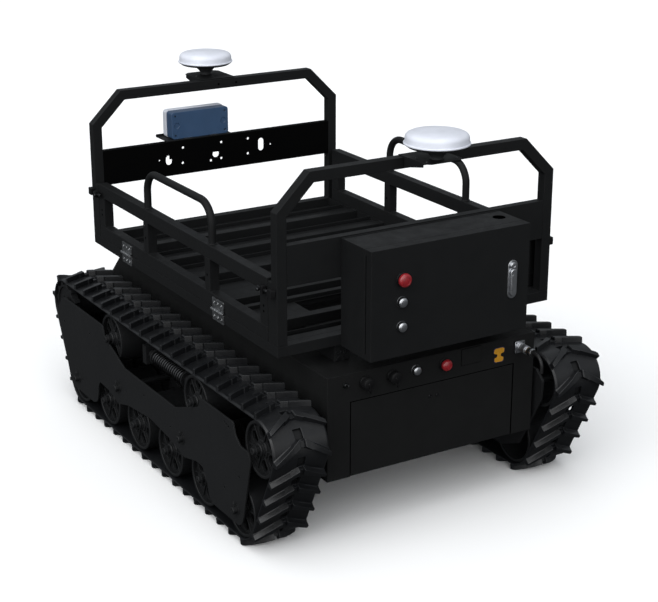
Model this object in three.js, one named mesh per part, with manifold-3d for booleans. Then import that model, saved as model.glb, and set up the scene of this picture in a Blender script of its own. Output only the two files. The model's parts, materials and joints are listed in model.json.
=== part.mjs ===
// Tracked tank chassis: a steel hull between two rubber tracks, with a cargo rack on top,
// a control cabinet at the front end and two satellite antennas.
// Units are millimetres, +Z is up, X runs across the vehicle and Y along it.
// The front (control cabinet) end faces -Y. The origin is on the ground under the middle,
// while the lengths below are measured from the middle of the tracks.

import * as THREE from 'three';
import { mergeVertices } from 'three/addons/utils/BufferGeometryUtils.js';
import Module from 'manifold-3d';

const wasm = await Module();
wasm.setup();

// ---- driving dimensions -------------------------------------------------------------

const FIT_GAP = 0.4; // clearance between touching pieces
const FORE_AFT_SHIFT = 6.5; // the stop button makes the front longer, and the origin is midway

// cargo rack, made of square tube
const TUBE = 30;
const RACK_X = 440; // half width
const RACK_Y = 592; // half length
const RACK_BOTTOM = 532;
const DECK_TOP = RACK_BOTTOM + TUBE;
const RACK_TOP = 1014;
const HOOP_SHOULDER = 917; // where the uprights start to lean in
const HOOP_CHAMFER = 98; // how far they lean in
const RAIL_X = 237; // slotted rails under the rack
const RAIL_WIDTH = 45;
const RAIL_Y = 578;

// hull
const HULL_X = 337;
const HULL_FRONT = -669;
const HULL_BACK = 725;
const HULL_BOTTOM = 185;
const HULL_TOP = 480;
const HULL_SLOPE_Y = 612; // the top slopes down to the back from here
const HULL_SLOPE_Z = 370;
const HULL_WALL = 4;
const ACCESS_X = 266; // half width of the front access door
const ACCESS_TOP = 400;

// tracks, given for the +X side
const BELT_IN = 370;
const BELT_OUT = 534;
const BELT_THICK = 11;
const LUG_HEIGHT = 13;
const LUG_COUNT = 48;
const WHEEL_Z = BELT_THICK + LUG_HEIGHT + 81;
const UPPER_Z = 318;
const UPPER_Y = 648; // idler at the front, drive sprocket at the back
const END_Y = 540;
const ROLLER_Y = 285;
const ROLLER_Z = 321;
const BOGIE_Y = 217.5;
const BOGIE_Z = 186;
const BOGIE_HALF_BASE = 108.5;
const WHEEL_RADIUS = 80;
const UPPER_RADIUS = 77;
const ROLLER_RADIUS = 74;
const BELT_SLACK = 1; // radial gap from a wheel to the belt
const PIN_RADIUS = 10;
const BORE_RADIUS = 10.5;
const FRAME_IN = 352;
const FRAME_OUT = 360;
const BOGIE_IN = 363;
const BOGIE_OUT = 373;
const WHEEL_IN = 378;
const WHEEL_OUT = 528;
const PLATE_IN = 535;
const PLATE_OUT = 540;
const PIN_END = 556; // pins that come through the side plate
const STUB_END = 546; // free axle ends

// side gates
const GATE_Y = 541; // half length
const GATE_TOP = 736;
const GATE_RAIL = 40;
const GATE_POST_Y = 200;
const HANDLE_Y = 207;
const HANDLE_TOP = 848;
const HANDLE_RADIUS = 11;
const HINGE_Y = [-267, 335];
const HINGE_X = 446; // hinge pin line
const HINGE_Z = DECK_TOP;

// cross plates between the hoop uprights
const PLATE_BOTTOM = 720;
const PLATE_TOP = 830;
const SHEET = 3;

// control cabinet
const CABINET_X = 250;
const CABINET_BACK = -RACK_Y - FIT_GAP;
const CABINET_SPLIT = -706;
const CABINET_FRONT = -738;
const CABINET_BOTTOM = 530;
const CABINET_TOP = 827;
const CONTROL_X = -157;
const ESTOP_Z = 740;
const BUTTON_Z = [679, 612];
const LEVER_X = 195;
const LEVER_Z = 680;

// hull front controls
const HULL_CONTROL_Z = 448;
const HULL_ESTOP_X = 30;
const HULL_BUTTON_X = -61;
const SOCKET_X = [-222, -137];
const PLUG_X = 284;

// satellite antennas
const ANTENNA_Y = 655;
const ANTENNA_RADIUS = 87.5;

// ---- materials ----------------------------------------------------------------------

const finish = (color, roughness, metalness) => ({ color, roughness, metalness });
const FINISH = {
  rackPaint: finish('#232527', 0.62, 0.3),
  hullPaint: finish('#1b1c1c', 0.6, 0.3),
  platePaint: finish('#27292b', 0.55, 0.3),
  wheel: finish('#242628', 0.5, 0.2),
  steel: finish('#5a5d60', 0.4, 0.9),
  rubber: finish('#1c1e21', 0.85, 0),
  chrome: finish('#c8ccd0', 0.18, 1),
  red: finish('#a01c28', 0.35, 0),
  radome: finish('#e1e4ee', 0.35, 0),
  blue: finish('#304866', 0.5, 0),
  battery: finish('#3a4a3e', 0.6, 0),
  cable: finish('#0d0d0e', 0.6, 0),
};

// ---- solids -------------------------------------------------------------------------

function solid(geometry) {
  geometry.deleteAttribute('normal');
  geometry.deleteAttribute('uv');
  const merged = mergeVertices(geometry, 1e-4);
  return new wasm.Manifold(new wasm.Mesh({
    numProp: 3,
    vertProperties: new Float32Array(merged.attributes.position.array),
    triVerts: new Uint32Array(merged.index.array),
  }));
}

const join = (...pieces) => pieces.reduce((whole, piece) => whole.add(piece));
const cut = (body, ...tools) => tools.reduce((whole, tool) => whole.subtract(tool), body);

function box(x0, x1, y0, y1, z0, z1) {
  const geometry = new THREE.BoxGeometry(Math.abs(x1 - x0), Math.abs(y1 - y0), Math.abs(z1 - z0));
  geometry.translate((x0 + x1) / 2, (y0 + y1) / 2, (z0 + z1) / 2);
  return solid(geometry);
}

// Extrudes a flat outline along one axis. The outline's two coordinates are the other
// two axes in order: [y, z] along X, [x, z] along Y, [x, y] along Z.
function extrude(axis, outline, from, to, holes = []) {
  const shape = new THREE.Shape(outline.map(([u, v]) => new THREE.Vector2(u, v)));
  for (const hole of holes) {
    shape.holes.push(new THREE.Path(hole.map(([u, v]) => new THREE.Vector2(u, v))));
  }
  const low = Math.min(from, to);
  const high = Math.max(from, to);
  const geometry = new THREE.ExtrudeGeometry(shape, { depth: high - low, bevelEnabled: false });
  const turn = new THREE.Matrix4();
  if (axis === 'x') {
    turn.makeBasis(new THREE.Vector3(0, 1, 0), new THREE.Vector3(0, 0, 1), new THREE.Vector3(1, 0, 0));
    turn.setPosition(low, 0, 0);
  } else if (axis === 'y') {
    turn.makeBasis(new THREE.Vector3(1, 0, 0), new THREE.Vector3(0, 0, 1), new THREE.Vector3(0, -1, 0));
    turn.setPosition(0, high, 0);
  } else {
    turn.setPosition(0, 0, low);
  }
  geometry.applyMatrix4(turn);
  return solid(geometry);
}

function rectangle(u0, u1, v0, v1) {
  return [[u0, v0], [u1, v0], [u1, v1], [u0, v1]];
}

function circle(u, v, radius, sides) {
  return Array.from({ length: sides }, (_, i) => {
    const angle = (2 * Math.PI * (i + 0.5)) / sides;
    return [u + radius * Math.cos(angle), v + radius * Math.sin(angle)];
  });
}

// A slot with round ends, half its length to each side of its centre along v.
function slot(u, v, radius, halfLength, stepsPerEnd = 6) {
  const points = [];
  for (const end of [1, -1]) {
    for (let i = 0; i <= stepsPerEnd; i++) {
      const angle = (Math.PI * i) / stepsPerEnd + (end > 0 ? 0 : Math.PI);
      points.push([u + radius * Math.cos(angle), v + end * halfLength + radius * Math.sin(angle)]);
    }
  }
  return points;
}

const rod = (axis, u, v, radius, from, to, sides = 10) =>
  extrude(axis, circle(u, v, radius, sides), from, to);

// Turns a profile of [radius, place along the axis] points round an axis through (u, v).
function turned(axis, u, v, profile, segments = 14) {
  const points = profile.map(([radius, along]) => new THREE.Vector2(radius, along));
  const loop = THREE.ShapeUtils.area(points) > 0 ? points : points.reverse();
  const onAxis = loop.some((point) => point.x === 0);
  const geometry = new THREE.LatheGeometry(onAxis ? startOnAxis(loop) : [...loop, loop[0]], segments);
  if (axis === 'x') {
    geometry.rotateZ(-Math.PI / 2);
    geometry.translate(0, u, v);
  } else if (axis === 'y') {
    geometry.translate(u, 0, v);
  } else {
    geometry.rotateX(Math.PI / 2);
    geometry.translate(u, v, 0);
  }
  return solid(geometry);
}

// Reorders a loop that touches the axis so that it begins and ends there.
function startOnAxis(loop) {
  const last = loop.findIndex((point, i) => point.x === 0 && loop[(i + 1) % loop.length].x > 0);
  return [...loop.slice(last), ...loop.slice(0, last)];
}

function tube(route, radius, sides, steps) {
  const points = route.map((point) => new THREE.Vector3(...point));
  const curve = new THREE.CatmullRomCurve3(points, false, 'catmullrom', 0.5);
  const outline = circle(0, 0, radius, sides).map(([u, v]) => new THREE.Vector2(u, v));
  const section = new THREE.Shape(outline);
  return solid(new THREE.ExtrudeGeometry(section, { extrudePath: curve, steps, bevelEnabled: false }));
}

const group = new THREE.Group();

function addMesh(name, body, look) {
  const result = body.getMesh();
  const geometry = new THREE.BufferGeometry();
  geometry.setAttribute('position', new THREE.BufferAttribute(result.vertProperties, 3));
  geometry.setIndex(new THREE.BufferAttribute(result.triVerts, 1));
  geometry.computeVertexNormals();
  const mesh = new THREE.Mesh(geometry, new THREE.MeshStandardMaterial(look));
  mesh.name = name;
  group.add(mesh);
}

// ---- tracks -------------------------------------------------------------------------

const PULLEYS = [
  { y: END_Y, z: WHEEL_Z, radius: WHEEL_RADIUS + BELT_SLACK },
  { y: UPPER_Y, z: UPPER_Z, radius: UPPER_RADIUS + BELT_SLACK },
  { y: -UPPER_Y, z: UPPER_Z, radius: UPPER_RADIUS + BELT_SLACK },
  { y: -END_Y, z: WHEEL_Z, radius: WHEEL_RADIUS + BELT_SLACK },
];

// The belt's inner face as straight runs and arcs, anticlockwise seen along -X.
function beltRuns() {
  const normals = PULLEYS.map((pulley, i) => {
    const next = PULLEYS[(i + 1) % PULLEYS.length];
    const length = Math.hypot(next.y - pulley.y, next.z - pulley.z);
    const heading = Math.atan2(next.z - pulley.z, next.y - pulley.y);
    return heading - Math.acos((pulley.radius - next.radius) / length);
  });
  const runs = [];
  PULLEYS.forEach((pulley, i) => {
    const next = PULLEYS[(i + 1) % PULLEYS.length];
    let arrive = normals[(i + PULLEYS.length - 1) % PULLEYS.length];
    while (arrive > normals[i]) arrive -= 2 * Math.PI;
    const angle = normals[i];
    runs.push({ pulley, from: arrive, to: angle, length: (angle - arrive) * pulley.radius });
    const at = (wheel) => [
      wheel.y + wheel.radius * Math.cos(angle),
      wheel.z + wheel.radius * Math.sin(angle),
    ];
    const [start, end] = [at(pulley), at(next)];
    const length = Math.hypot(end[0] - start[0], end[1] - start[1]);
    runs.push({ start, end, angle, length });
  });
  return runs;
}

const RUNS = beltRuns();
const BELT_LENGTH = RUNS.reduce((sum, run) => sum + run.length, 0);

// The point at a distance along the belt's inner face, lifted outward by height.
function beltPoint(distance, height) {
  let rest = ((distance % BELT_LENGTH) + BELT_LENGTH) % BELT_LENGTH;
  let run = RUNS[0];
  for (run of RUNS) {
    if (rest <= run.length) break;
    rest -= run.length;
  }
  const share = rest / run.length;
  if (run.pulley) {
    const angle = run.from + (run.to - run.from) * share;
    const radius = run.pulley.radius + height;
    return [run.pulley.y + radius * Math.cos(angle), run.pulley.z + radius * Math.sin(angle)];
  }
  return [
    run.start[0] + (run.end[0] - run.start[0]) * share + height * Math.cos(run.angle),
    run.start[1] + (run.end[1] - run.start[1]) * share + height * Math.sin(run.angle),
  ];
}

function beltInside() {
  const stepsPerArc = 9;
  const points = [];
  for (const run of RUNS.filter((each) => each.pulley)) {
    for (let i = 0; i <= stepsPerArc; i++) {
      const angle = run.from + ((run.to - run.from) * i) / stepsPerArc;
      points.push([
        run.pulley.y + run.pulley.radius * Math.cos(angle),
        run.pulley.z + run.pulley.radius * Math.sin(angle),
      ]);
    }
  }
  return points;
}

// One lug per pitch: [share of the pitch, height above the carcass].
const LUG_PROFILE = [[0, 0], [0.06, LUG_HEIGHT], [0.42, LUG_HEIGHT], [0.48, 0], [0.74, 0]];

function belt(side) {
  const pitch = BELT_LENGTH / LUG_COUNT;
  const outside = [];
  for (let i = 0; i < LUG_COUNT; i++) {
    for (const [share, height] of LUG_PROFILE) {
      outside.push(beltPoint((i + share) * pitch, BELT_THICK + height));
    }
  }
  return extrude('x', outside, side * BELT_IN, side * BELT_OUT, [beltInside()]);
}

// A drum wheel with a dished web near its outer rim and a hub that turns on a pin.
function wheel(side, y, z, radius) {
  const rim = 9;
  const webOut = WHEEL_OUT - 12;
  const webIn = webOut - 8;
  const hub = 24;
  const profile = [
    [BORE_RADIUS, webIn], [radius - rim, webIn], [radius - rim, WHEEL_IN],
    [radius, WHEEL_IN], [radius, WHEEL_OUT], [radius - rim, WHEEL_OUT],
    [radius - rim, webOut], [hub, webOut], [hub, WHEEL_OUT + 4], [BORE_RADIUS, WHEEL_OUT + 4],
  ];
  return turned('x', y, z, profile.map(([r, x]) => [r, side * x]));
}

// The drive sprocket: two toothed rings on a drum, with a shaft to the motor.
function sprocket(side) {
  const teeth = 12;
  const outline = [];
  for (let i = 0; i < teeth * 4; i++) {
    const angle = (2 * Math.PI * i) / (teeth * 4);
    const radius = i % 4 < 2 ? UPPER_RADIUS : UPPER_RADIUS - 9;
    outline.push([UPPER_Y + radius * Math.cos(angle), UPPER_Z + radius * Math.sin(angle)]);
  }
  return join(
    extrude('x', outline, side * (WHEEL_OUT - 22), side * WHEEL_OUT),
    extrude('x', outline, side * WHEEL_IN, side * (WHEEL_IN + 22)),
    rod('x', UPPER_Y, UPPER_Z, 45, side * (WHEEL_IN + 20), side * (WHEEL_OUT - 20), 12),
    rod('x', UPPER_Y, UPPER_Z, 15, side * 326, side * (WHEEL_IN + 2)),
  );
}

const PLATE_OUTLINE = [
  [-404, 60], [-545, 60], [-566, 70], [-575, 92], [-620, 272], [-609, 297], [-563, 298], [-537, 320],
  [-526, 352], [-338, 352], [-322, 320], [-173, 264], [173, 264], [314, 318], [325, 352], [628, 352],
  [660, 338], [683, 300], [688, 256], [648, 182], [610, 80], [592, 63], [424, 63], [396, 74],
  [385, 98], [381, 130], [366, 152], [300, 148], [224, 130], [150, 150], [0, 166], [-150, 150],
  [-224, 130], [-300, 149], [-340, 148], [-366, 112], [-376, 74],
];

const PIN_PLACES = [[-END_Y, WHEEL_Z], [-BOGIE_Y, BOGIE_Z], [BOGIE_Y, BOGIE_Z], [END_Y, WHEEL_Z]];

// The outer side plate with the four pins that carry the end wheels and the bogies.
function outerPlate(side) {
  const plate = extrude('x', PLATE_OUTLINE, side * PLATE_IN, side * PLATE_OUT);
  const pins = PIN_PLACES.map(([y, z]) =>
    rod('x', y, z, PIN_RADIUS, side * (FRAME_OUT + FIT_GAP), side * PIN_END));
  return join(plate, ...pins);
}

const FRAME_OUTLINE = [
  [-520, 78], [520, 78], [600, 110], [690, 280], [694, 336], [664, 364],
  [-664, 364], [-694, 336], [-690, 280], [-600, 110],
];
const SPRING_Z = 307;
const SPRING_X = 460;
const SPRING_Y = 150; // brackets that hold the spring's ends
const BRACKET = 24;

// The inner track frame with the fixed axles of the idler and the return rollers.
function innerFrame(side) {
  const shaftHole = circle(UPPER_Y, UPPER_Z, 20, 12);
  const plate = extrude('x', FRAME_OUTLINE, side * FRAME_IN, side * FRAME_OUT, [shaftHole]);
  const axles = [[-UPPER_Y, UPPER_Z], [-ROLLER_Y, ROLLER_Z], [ROLLER_Y, ROLLER_Z]].map(([y, z]) =>
    rod('x', y, z, PIN_RADIUS, side * (FRAME_OUT - 2), side * STUB_END));
  const mounts = [-520, -180, 180, 520].map((y) =>
    box(side * (HULL_X + FIT_GAP), side * (FRAME_IN + 2), y - 40, y + 40, 200, 320));
  const brackets = [-SPRING_Y, SPRING_Y].map((y) =>
    box(side * (FRAME_OUT - 2), side * (SPRING_X + 22), y - BRACKET / 2, y + BRACKET / 2,
      SPRING_Z - 32, SPRING_Z + 26));
  return join(plate, ...axles, ...mounts, ...brackets);
}

// A damper rod with a coil spring round it, as one stepped cylinder.
function spring(side) {
  const end = SPRING_Y - BRACKET / 2 - FIT_GAP;
  const [rodRadius, coilRadius, coil] = [14, 26, 100];
  const profile = [
    [0, -end], [rodRadius, -end], [rodRadius, -coil], [coilRadius, -coil],
    [coilRadius, coil], [rodRadius, coil], [rodRadius, end], [0, end],
  ];
  return turned('y', side * SPRING_X, SPRING_Z, profile, 10);
}

// A bogie: an arm that pivots on the side plate's pin and carries two road wheels.
function bogie(side, y) {
  const base = BOGIE_HALF_BASE;
  const drop = BOGIE_Z - WHEEL_Z;
  const outline = [
    [-base - 20, -drop - 16], [base + 20, -drop - 16], [base + 20, -drop + 12],
    [28, 26], [-28, 26], [-base - 20, -drop + 12],
  ].map(([u, v]) => [y + u, BOGIE_Z + v]);
  const bore = circle(y, BOGIE_Z, BORE_RADIUS, 12);
  const arm = extrude('x', outline, side * BOGIE_IN, side * BOGIE_OUT, [bore]);
  const axles = [-base, base].map((u) =>
    rod('x', y + u, WHEEL_Z, PIN_RADIUS, side * (BOGIE_OUT - 2), side * STUB_END));
  return join(arm, ...axles);
}

function addTrack(side, name) {
  addMesh(`track_belt_${name}`, belt(side), FINISH.rubber);
  addMesh(`track_side_plate_${name}`, outerPlate(side), FINISH.platePaint);
  addMesh(`track_inner_frame_${name}`, innerFrame(side), FINISH.platePaint);
  addMesh(`track_spring_${name}`, spring(side), FINISH.steel);
  addMesh(`drive_sprocket_${name}`, sprocket(side), FINISH.wheel);
  addMesh(`idler_wheel_${name}`, wheel(side, -UPPER_Y, UPPER_Z, UPPER_RADIUS), FINISH.wheel);
  addMesh(`end_wheel_front_${name}`, wheel(side, -END_Y, WHEEL_Z, WHEEL_RADIUS), FINISH.wheel);
  addMesh(`end_wheel_back_${name}`, wheel(side, END_Y, WHEEL_Z, WHEEL_RADIUS), FINISH.wheel);
  let number = 1;
  for (const y of [-BOGIE_Y, BOGIE_Y]) {
    addMesh(`bogie_${y < 0 ? 'front' : 'back'}_${name}`, bogie(side, y), FINISH.platePaint);
    for (const shift of [-BOGIE_HALF_BASE, BOGIE_HALF_BASE]) {
      const roadWheel = wheel(side, y + shift, WHEEL_Z, WHEEL_RADIUS);
      addMesh(`road_wheel_${number}_${name}`, roadWheel, FINISH.wheel);
      number += 1;
    }
  }
  addMesh(`return_roller_front_${name}`, wheel(side, -ROLLER_Y, ROLLER_Z, ROLLER_RADIUS), FINISH.wheel);
  addMesh(`return_roller_back_${name}`, wheel(side, ROLLER_Y, ROLLER_Z, ROLLER_RADIUS), FINISH.wheel);
}

// ---- hull ---------------------------------------------------------------------------

function hullOutline(inset) {
  const front = HULL_FRONT + inset;
  const back = HULL_BACK - inset;
  return [
    [front, HULL_BOTTOM + inset], [back, HULL_BOTTOM + inset], [back, HULL_SLOPE_Z - inset / 2],
    [HULL_SLOPE_Y - inset / 2, HULL_TOP - inset], [front, HULL_TOP - inset],
  ];
}

const SOCKET_RADIUS = 15;
const PLUG_RADIUS = 11;
const PLUG_END = HULL_FRONT - 66;
const FLANGE_HALF = 17;
const CABLE_RADIUS = 5;

function hullShell() {
  const shell = cut(
    extrude('x', hullOutline(0), -HULL_X, HULL_X),
    extrude('x', hullOutline(HULL_WALL), -HULL_X + HULL_WALL, HULL_X - HULL_WALL),
    box(-ACCESS_X, ACCESS_X, HULL_FRONT - 1, HULL_FRONT + HULL_WALL + 1, HULL_BOTTOM - 1, ACCESS_TOP),
    rod('x', UPPER_Y, UPPER_Z, 20, -HULL_X - 1, HULL_X + 1),
    rod('y', HULL_ESTOP_X, HULL_CONTROL_Z, 9, HULL_FRONT - 1, HULL_FRONT + HULL_WALL + 1),
    rod('y', HULL_BUTTON_X, HULL_CONTROL_Z, 9, HULL_FRONT - 1, HULL_FRONT + HULL_WALL + 1),
  );
  const sockets = SOCKET_X.map((x) =>
    rod('y', x, HULL_CONTROL_Z, SOCKET_RADIUS, HULL_FRONT - 22, HULL_FRONT + 1));
  const flange = box(PLUG_X - FLANGE_HALF, PLUG_X + FLANGE_HALF, HULL_FRONT - 4, HULL_FRONT + 1,
    HULL_CONTROL_Z - FLANGE_HALF, HULL_CONTROL_Z + FLANGE_HALF);
  const plug = rod('y', PLUG_X, HULL_CONTROL_Z, PLUG_RADIUS, PLUG_END, HULL_FRONT - 2);
  const bezels = [HULL_ESTOP_X, HULL_BUTTON_X].map((x) => cut(
    rod('y', x, HULL_CONTROL_Z, 15, HULL_FRONT - 3, HULL_FRONT + 1),
    rod('y', x, HULL_CONTROL_Z, 9, HULL_FRONT - 4, HULL_FRONT + 2),
  ));
  return join(shell, ...sockets, flange, plug, ...bezels);
}

// The data cable is a short tail: it leaves the plug level and turns down to its bare end.
const CABLE_ROUTE = [
  [PLUG_X, PLUG_END - FIT_GAP, HULL_CONTROL_Z],
  [PLUG_X, PLUG_END - 3, HULL_CONTROL_Z],
  [PLUG_X, PLUG_END - 6, HULL_CONTROL_Z],
  [PLUG_X, PLUG_END - 11.2, HULL_CONTROL_Z - 0.5],
  [PLUG_X, PLUG_END - 16.3, HULL_CONTROL_Z - 1.8],
  [PLUG_X, PLUG_END - 21, HULL_CONTROL_Z - 4],
  [PLUG_X, PLUG_END - 25.3, HULL_CONTROL_Z - 7],
  [PLUG_X, PLUG_END - 29, HULL_CONTROL_Z - 10.7],
  [PLUG_X, PLUG_END - 32, HULL_CONTROL_Z - 15],
  [PLUG_X, PLUG_END - 34.2, HULL_CONTROL_Z - 19.7],
  [PLUG_X, PLUG_END - 35.5, HULL_CONTROL_Z - 24.8],
  [PLUG_X, PLUG_END - 36, HULL_CONTROL_Z - 30],
  [PLUG_X, PLUG_END - 36, HULL_CONTROL_Z - 35],
  [PLUG_X, PLUG_END - 36, HULL_CONTROL_Z - 40.5],
  [PLUG_X, PLUG_END - 36, HULL_CONTROL_Z - 46],
];

function accessDoor() {
  const gap = 1.5;
  return extrude('y', rectangle(-ACCESS_X + gap, ACCESS_X - gap, HULL_BOTTOM + 2, ACCESS_TOP - gap),
    HULL_FRONT, HULL_FRONT + HULL_WALL);
}

// A mushroom stop button: its cap stands off the bezel by its travel, on a stem.
function stopButton(x, z, front, capRadius) {
  const profile = [
    [0, front + 12], [8, front + 12], [8, front - 8], [capRadius - 3, front - 9],
    [capRadius, front - 13], [capRadius, front - 17], [capRadius - 5, front - 22], [0, front - 24],
  ];
  return turned('y', x, z, profile, 12);
}

function pushButton(x, z, front, radius) {
  const profile = [
    [0, front + 12], [7, front + 12], [7, front - 6], [radius, front - 6],
    [radius, front - 9], [radius - 3, front - 11], [0, front - 12],
  ];
  return turned('y', x, z, profile, 12);
}

function addHull() {
  addMesh('hull_shell', hullShell(), FINISH.hullPaint);
  addMesh('access_door', accessDoor(), FINISH.hullPaint);
  const floor = HULL_BOTTOM + HULL_WALL + FIT_GAP;
  addMesh('battery_pack', box(-200, 200, -300, 300, floor, floor + 160), FINISH.battery);
  for (const [side, name] of [[-1, 'left'], [1, 'right']]) {
    const motor = rod('x', UPPER_Y, UPPER_Z, 58, side * 70, side * 325, 16);
    addMesh(`drive_motor_${name}`, motor, FINISH.steel);
  }
  addMesh('hull_stop_button', stopButton(HULL_ESTOP_X, HULL_CONTROL_Z, HULL_FRONT, 16), FINISH.red);
  addMesh('hull_push_button', pushButton(HULL_BUTTON_X, HULL_CONTROL_Z, HULL_FRONT, 12), FINISH.chrome);
  addMesh('data_cable', tube(CABLE_ROUTE, CABLE_RADIUS, 10, 12), FINISH.cable);
}

// ---- cargo rack ---------------------------------------------------------------------

// Each slat is a sheet with a tube along its front edge and a lip at its back edge:
// [back edge, front edge].
const SLATS = [[470, 379], [302, 213], [145, 24], [-34, -205], [-257, -423], [-500, -562]];
const TRAY_SLAT = 4; // this slat has a wide cut-out and a tube along both edges
const CUTOUT_X = 210;

function cargoFrame() {
  const rim = extrude('z', rectangle(-RACK_X, RACK_X, -RACK_Y, RACK_Y), RACK_BOTTOM, DECK_TOP,
    [rectangle(-RACK_X + TUBE, RACK_X - TUBE, -RACK_Y + TUBE, RACK_Y - TUBE)]);
  const inside = RACK_X - TUBE + 1;
  const sheetTop = DECK_TOP - 12;
  const slats = SLATS.flatMap(([back, front], i) => {
    const sheet = box(-inside, inside, front, back, sheetTop - SHEET, sheetTop);
    const frontTube = box(-inside, inside, front, front + TUBE, RACK_BOTTOM, DECK_TOP);
    const lip = box(-inside, inside, back - SHEET, back, sheetTop - SHEET, DECK_TOP);
    if (i !== TRAY_SLAT) return [sheet, frontTube, lip];
    const opening = box(-CUTOUT_X, CUTOUT_X, front + TUBE + 4, back - 22, RACK_BOTTOM, DECK_TOP);
    const backTube = box(-inside, inside, back - 20, back, RACK_BOTTOM, DECK_TOP);
    return [cut(sheet, opening), frontTube, backTube];
  });
  const innerEnd = RACK_Y - TUBE;
  const ledge = box(-inside, inside, innerEnd - 25, innerEnd + 1, RACK_BOTTOM, RACK_BOTTOM + SHEET);
  const rails = [-RAIL_X, RAIL_X].map((x) =>
    box(x - RAIL_WIDTH / 2, x + RAIL_WIDTH / 2, -RAIL_Y, RAIL_Y, HULL_TOP + FIT_GAP, RACK_BOTTOM + 1));
  const hingeBarrels = [-1, 1].flatMap((side) => HINGE_Y.map((y) => join(
    rod('y', side * HINGE_X, HINGE_Z, 4.5, y - 32, y + 32, 10),
    box(side * (RACK_X - 1), side * (RACK_X + 4), y - 32, y + 32, HINGE_Z - 30, HINGE_Z - 3),
    box(side * (RACK_X - 1), side * HINGE_X, y - 32, y + 32, HINGE_Z - 4.5, HINGE_Z - 1),
  )));
  return join(rim, ...slats, ledge, ...rails, ...hingeBarrels);
}

function hoopOutline(inset) {
  const lean = Math.atan2(HOOP_CHAMFER, RACK_TOP - HOOP_SHOULDER);
  const low = inset * Math.tan(lean / 2);
  const high = inset * Math.tan((Math.PI / 2 - lean) / 2);
  const x = RACK_X - inset;
  const shoulder = HOOP_SHOULDER - low;
  const topX = RACK_X - HOOP_CHAMFER - high;
  const bottom = DECK_TOP + FIT_GAP - (inset ? 1 : 0);
  const top = RACK_TOP - inset;
  return [[-x, bottom], [x, bottom], [x, shoulder], [topX, top], [-topX, top], [-x, shoulder]];
}

// A hoop of square tube with a flat strip beside each upright that the gate closes against.
function hoop(end) {
  const outer = end * RACK_Y;
  const inner = end * (RACK_Y - TUBE);
  const frame = cut(
    extrude('y', hoopOutline(0), outer, inner),
    extrude('y', hoopOutline(TUBE), end * (RACK_Y + 1), end * (RACK_Y - TUBE - 1)),
  );
  const strips = [-1, 1].map((side) =>
    box(side * RACK_X, side * (RACK_X - 12), end * (GATE_Y + 3), end * (RACK_Y - TUBE + 1),
      DECK_TOP + FIT_GAP, GATE_TOP - 6));
  return join(frame, ...strips);
}

// A channel plate between the uprights; its flanges point away from its web.
function crossPlate(web, towards, holes) {
  const half = RACK_X - TUBE - FIT_GAP;
  const depth = 24;
  return join(
    extrude('y', rectangle(-half, half, PLATE_BOTTOM, PLATE_TOP), web, web + towards * SHEET, holes),
    box(-half, half, web, web + towards * depth, PLATE_TOP - SHEET, PLATE_TOP),
    box(-half, half, web, web + towards * depth, PLATE_BOTTOM, PLATE_BOTTOM + SHEET),
  );
}

// Holes of the back plate: a slot, a keyhole, a flat-topped hole and small round ones.
const SMALL_HOLES = [
  [-134, 807], [-136, 757], [-35, 752], [4, 808], [3, 755], [102, 808], [101, 758],
];
const FAR_HOLES = [
  slot(150, 783, 10, 11), slot(-185, 772, 11, 5), slot(-17, 774, 11, 3),
  ...SMALL_HOLES.map(([x, z]) => circle(x, z, 4, 6)),
  ...[[-218, 775], [186, 779]].map(([x, z]) => circle(x, z, 2.5, 6)),
];

// A side gate: a welded frame with two posts and a bent tube handle above its top rail.
function gate(side) {
  const bottom = DECK_TOP + FIT_GAP;
  const windowLow = bottom + GATE_RAIL;
  const windowHigh = GATE_TOP - GATE_RAIL;
  const edges = [-GATE_Y + GATE_RAIL, -GATE_POST_Y - 15, -GATE_POST_Y + 15,
    GATE_POST_Y - 15, GATE_POST_Y + 15, GATE_Y - GATE_RAIL];
  const windows = [0, 2, 4].map((i) =>
    box(side * (RACK_X + 1), side * (RACK_X - TUBE - 1), edges[i], edges[i + 1], windowLow, windowHigh));
  const panel = box(side * RACK_X, side * (RACK_X - TUBE), -GATE_Y, GATE_Y, bottom, GATE_TOP);
  const frame = cut(panel, ...windows);
  const x = side * (RACK_X - TUBE / 2);
  const bend = 62;
  const route = [[x, -HANDLE_Y, GATE_TOP - 4]];
  for (const end of [-1, 1]) {
    for (let i = 0; i <= 4; i++) {
      const angle = ((end < 0 ? i : 4 - i) / 4) * (Math.PI / 2);
      const y = end * (HANDLE_Y - bend + bend * Math.cos(angle));
      route.push([x, y, HANDLE_TOP - bend + bend * Math.sin(angle)]);
    }
  }
  route.push([x, HANDLE_Y, GATE_TOP - 4]);
  const handle = tube(route, HANDLE_RADIUS, 8, 22);
  const leaves = HINGE_Y.map((y) =>
    box(side * (RACK_X - 1), side * (RACK_X + 3.5), y - 32, y + 32, HINGE_Z + 5.5, HINGE_Z + 33));
  return join(frame, handle, ...leaves);
}

const LATCH_Z = 705;

// A slide bolt on the gate's end post that reaches over the hoop's strip.
function latch(side, end) {
  const x = side * (RACK_X + 8.5);
  const at = end * GATE_Y;
  return join(
    rod('y', x, LATCH_Z, 6, at - end * 34, at + end * 16, 10),
    rod('x', at - end * 16, LATCH_Z, 5, side * (RACK_X + 8), side * (RACK_X + 24), 10),
  );
}

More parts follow.
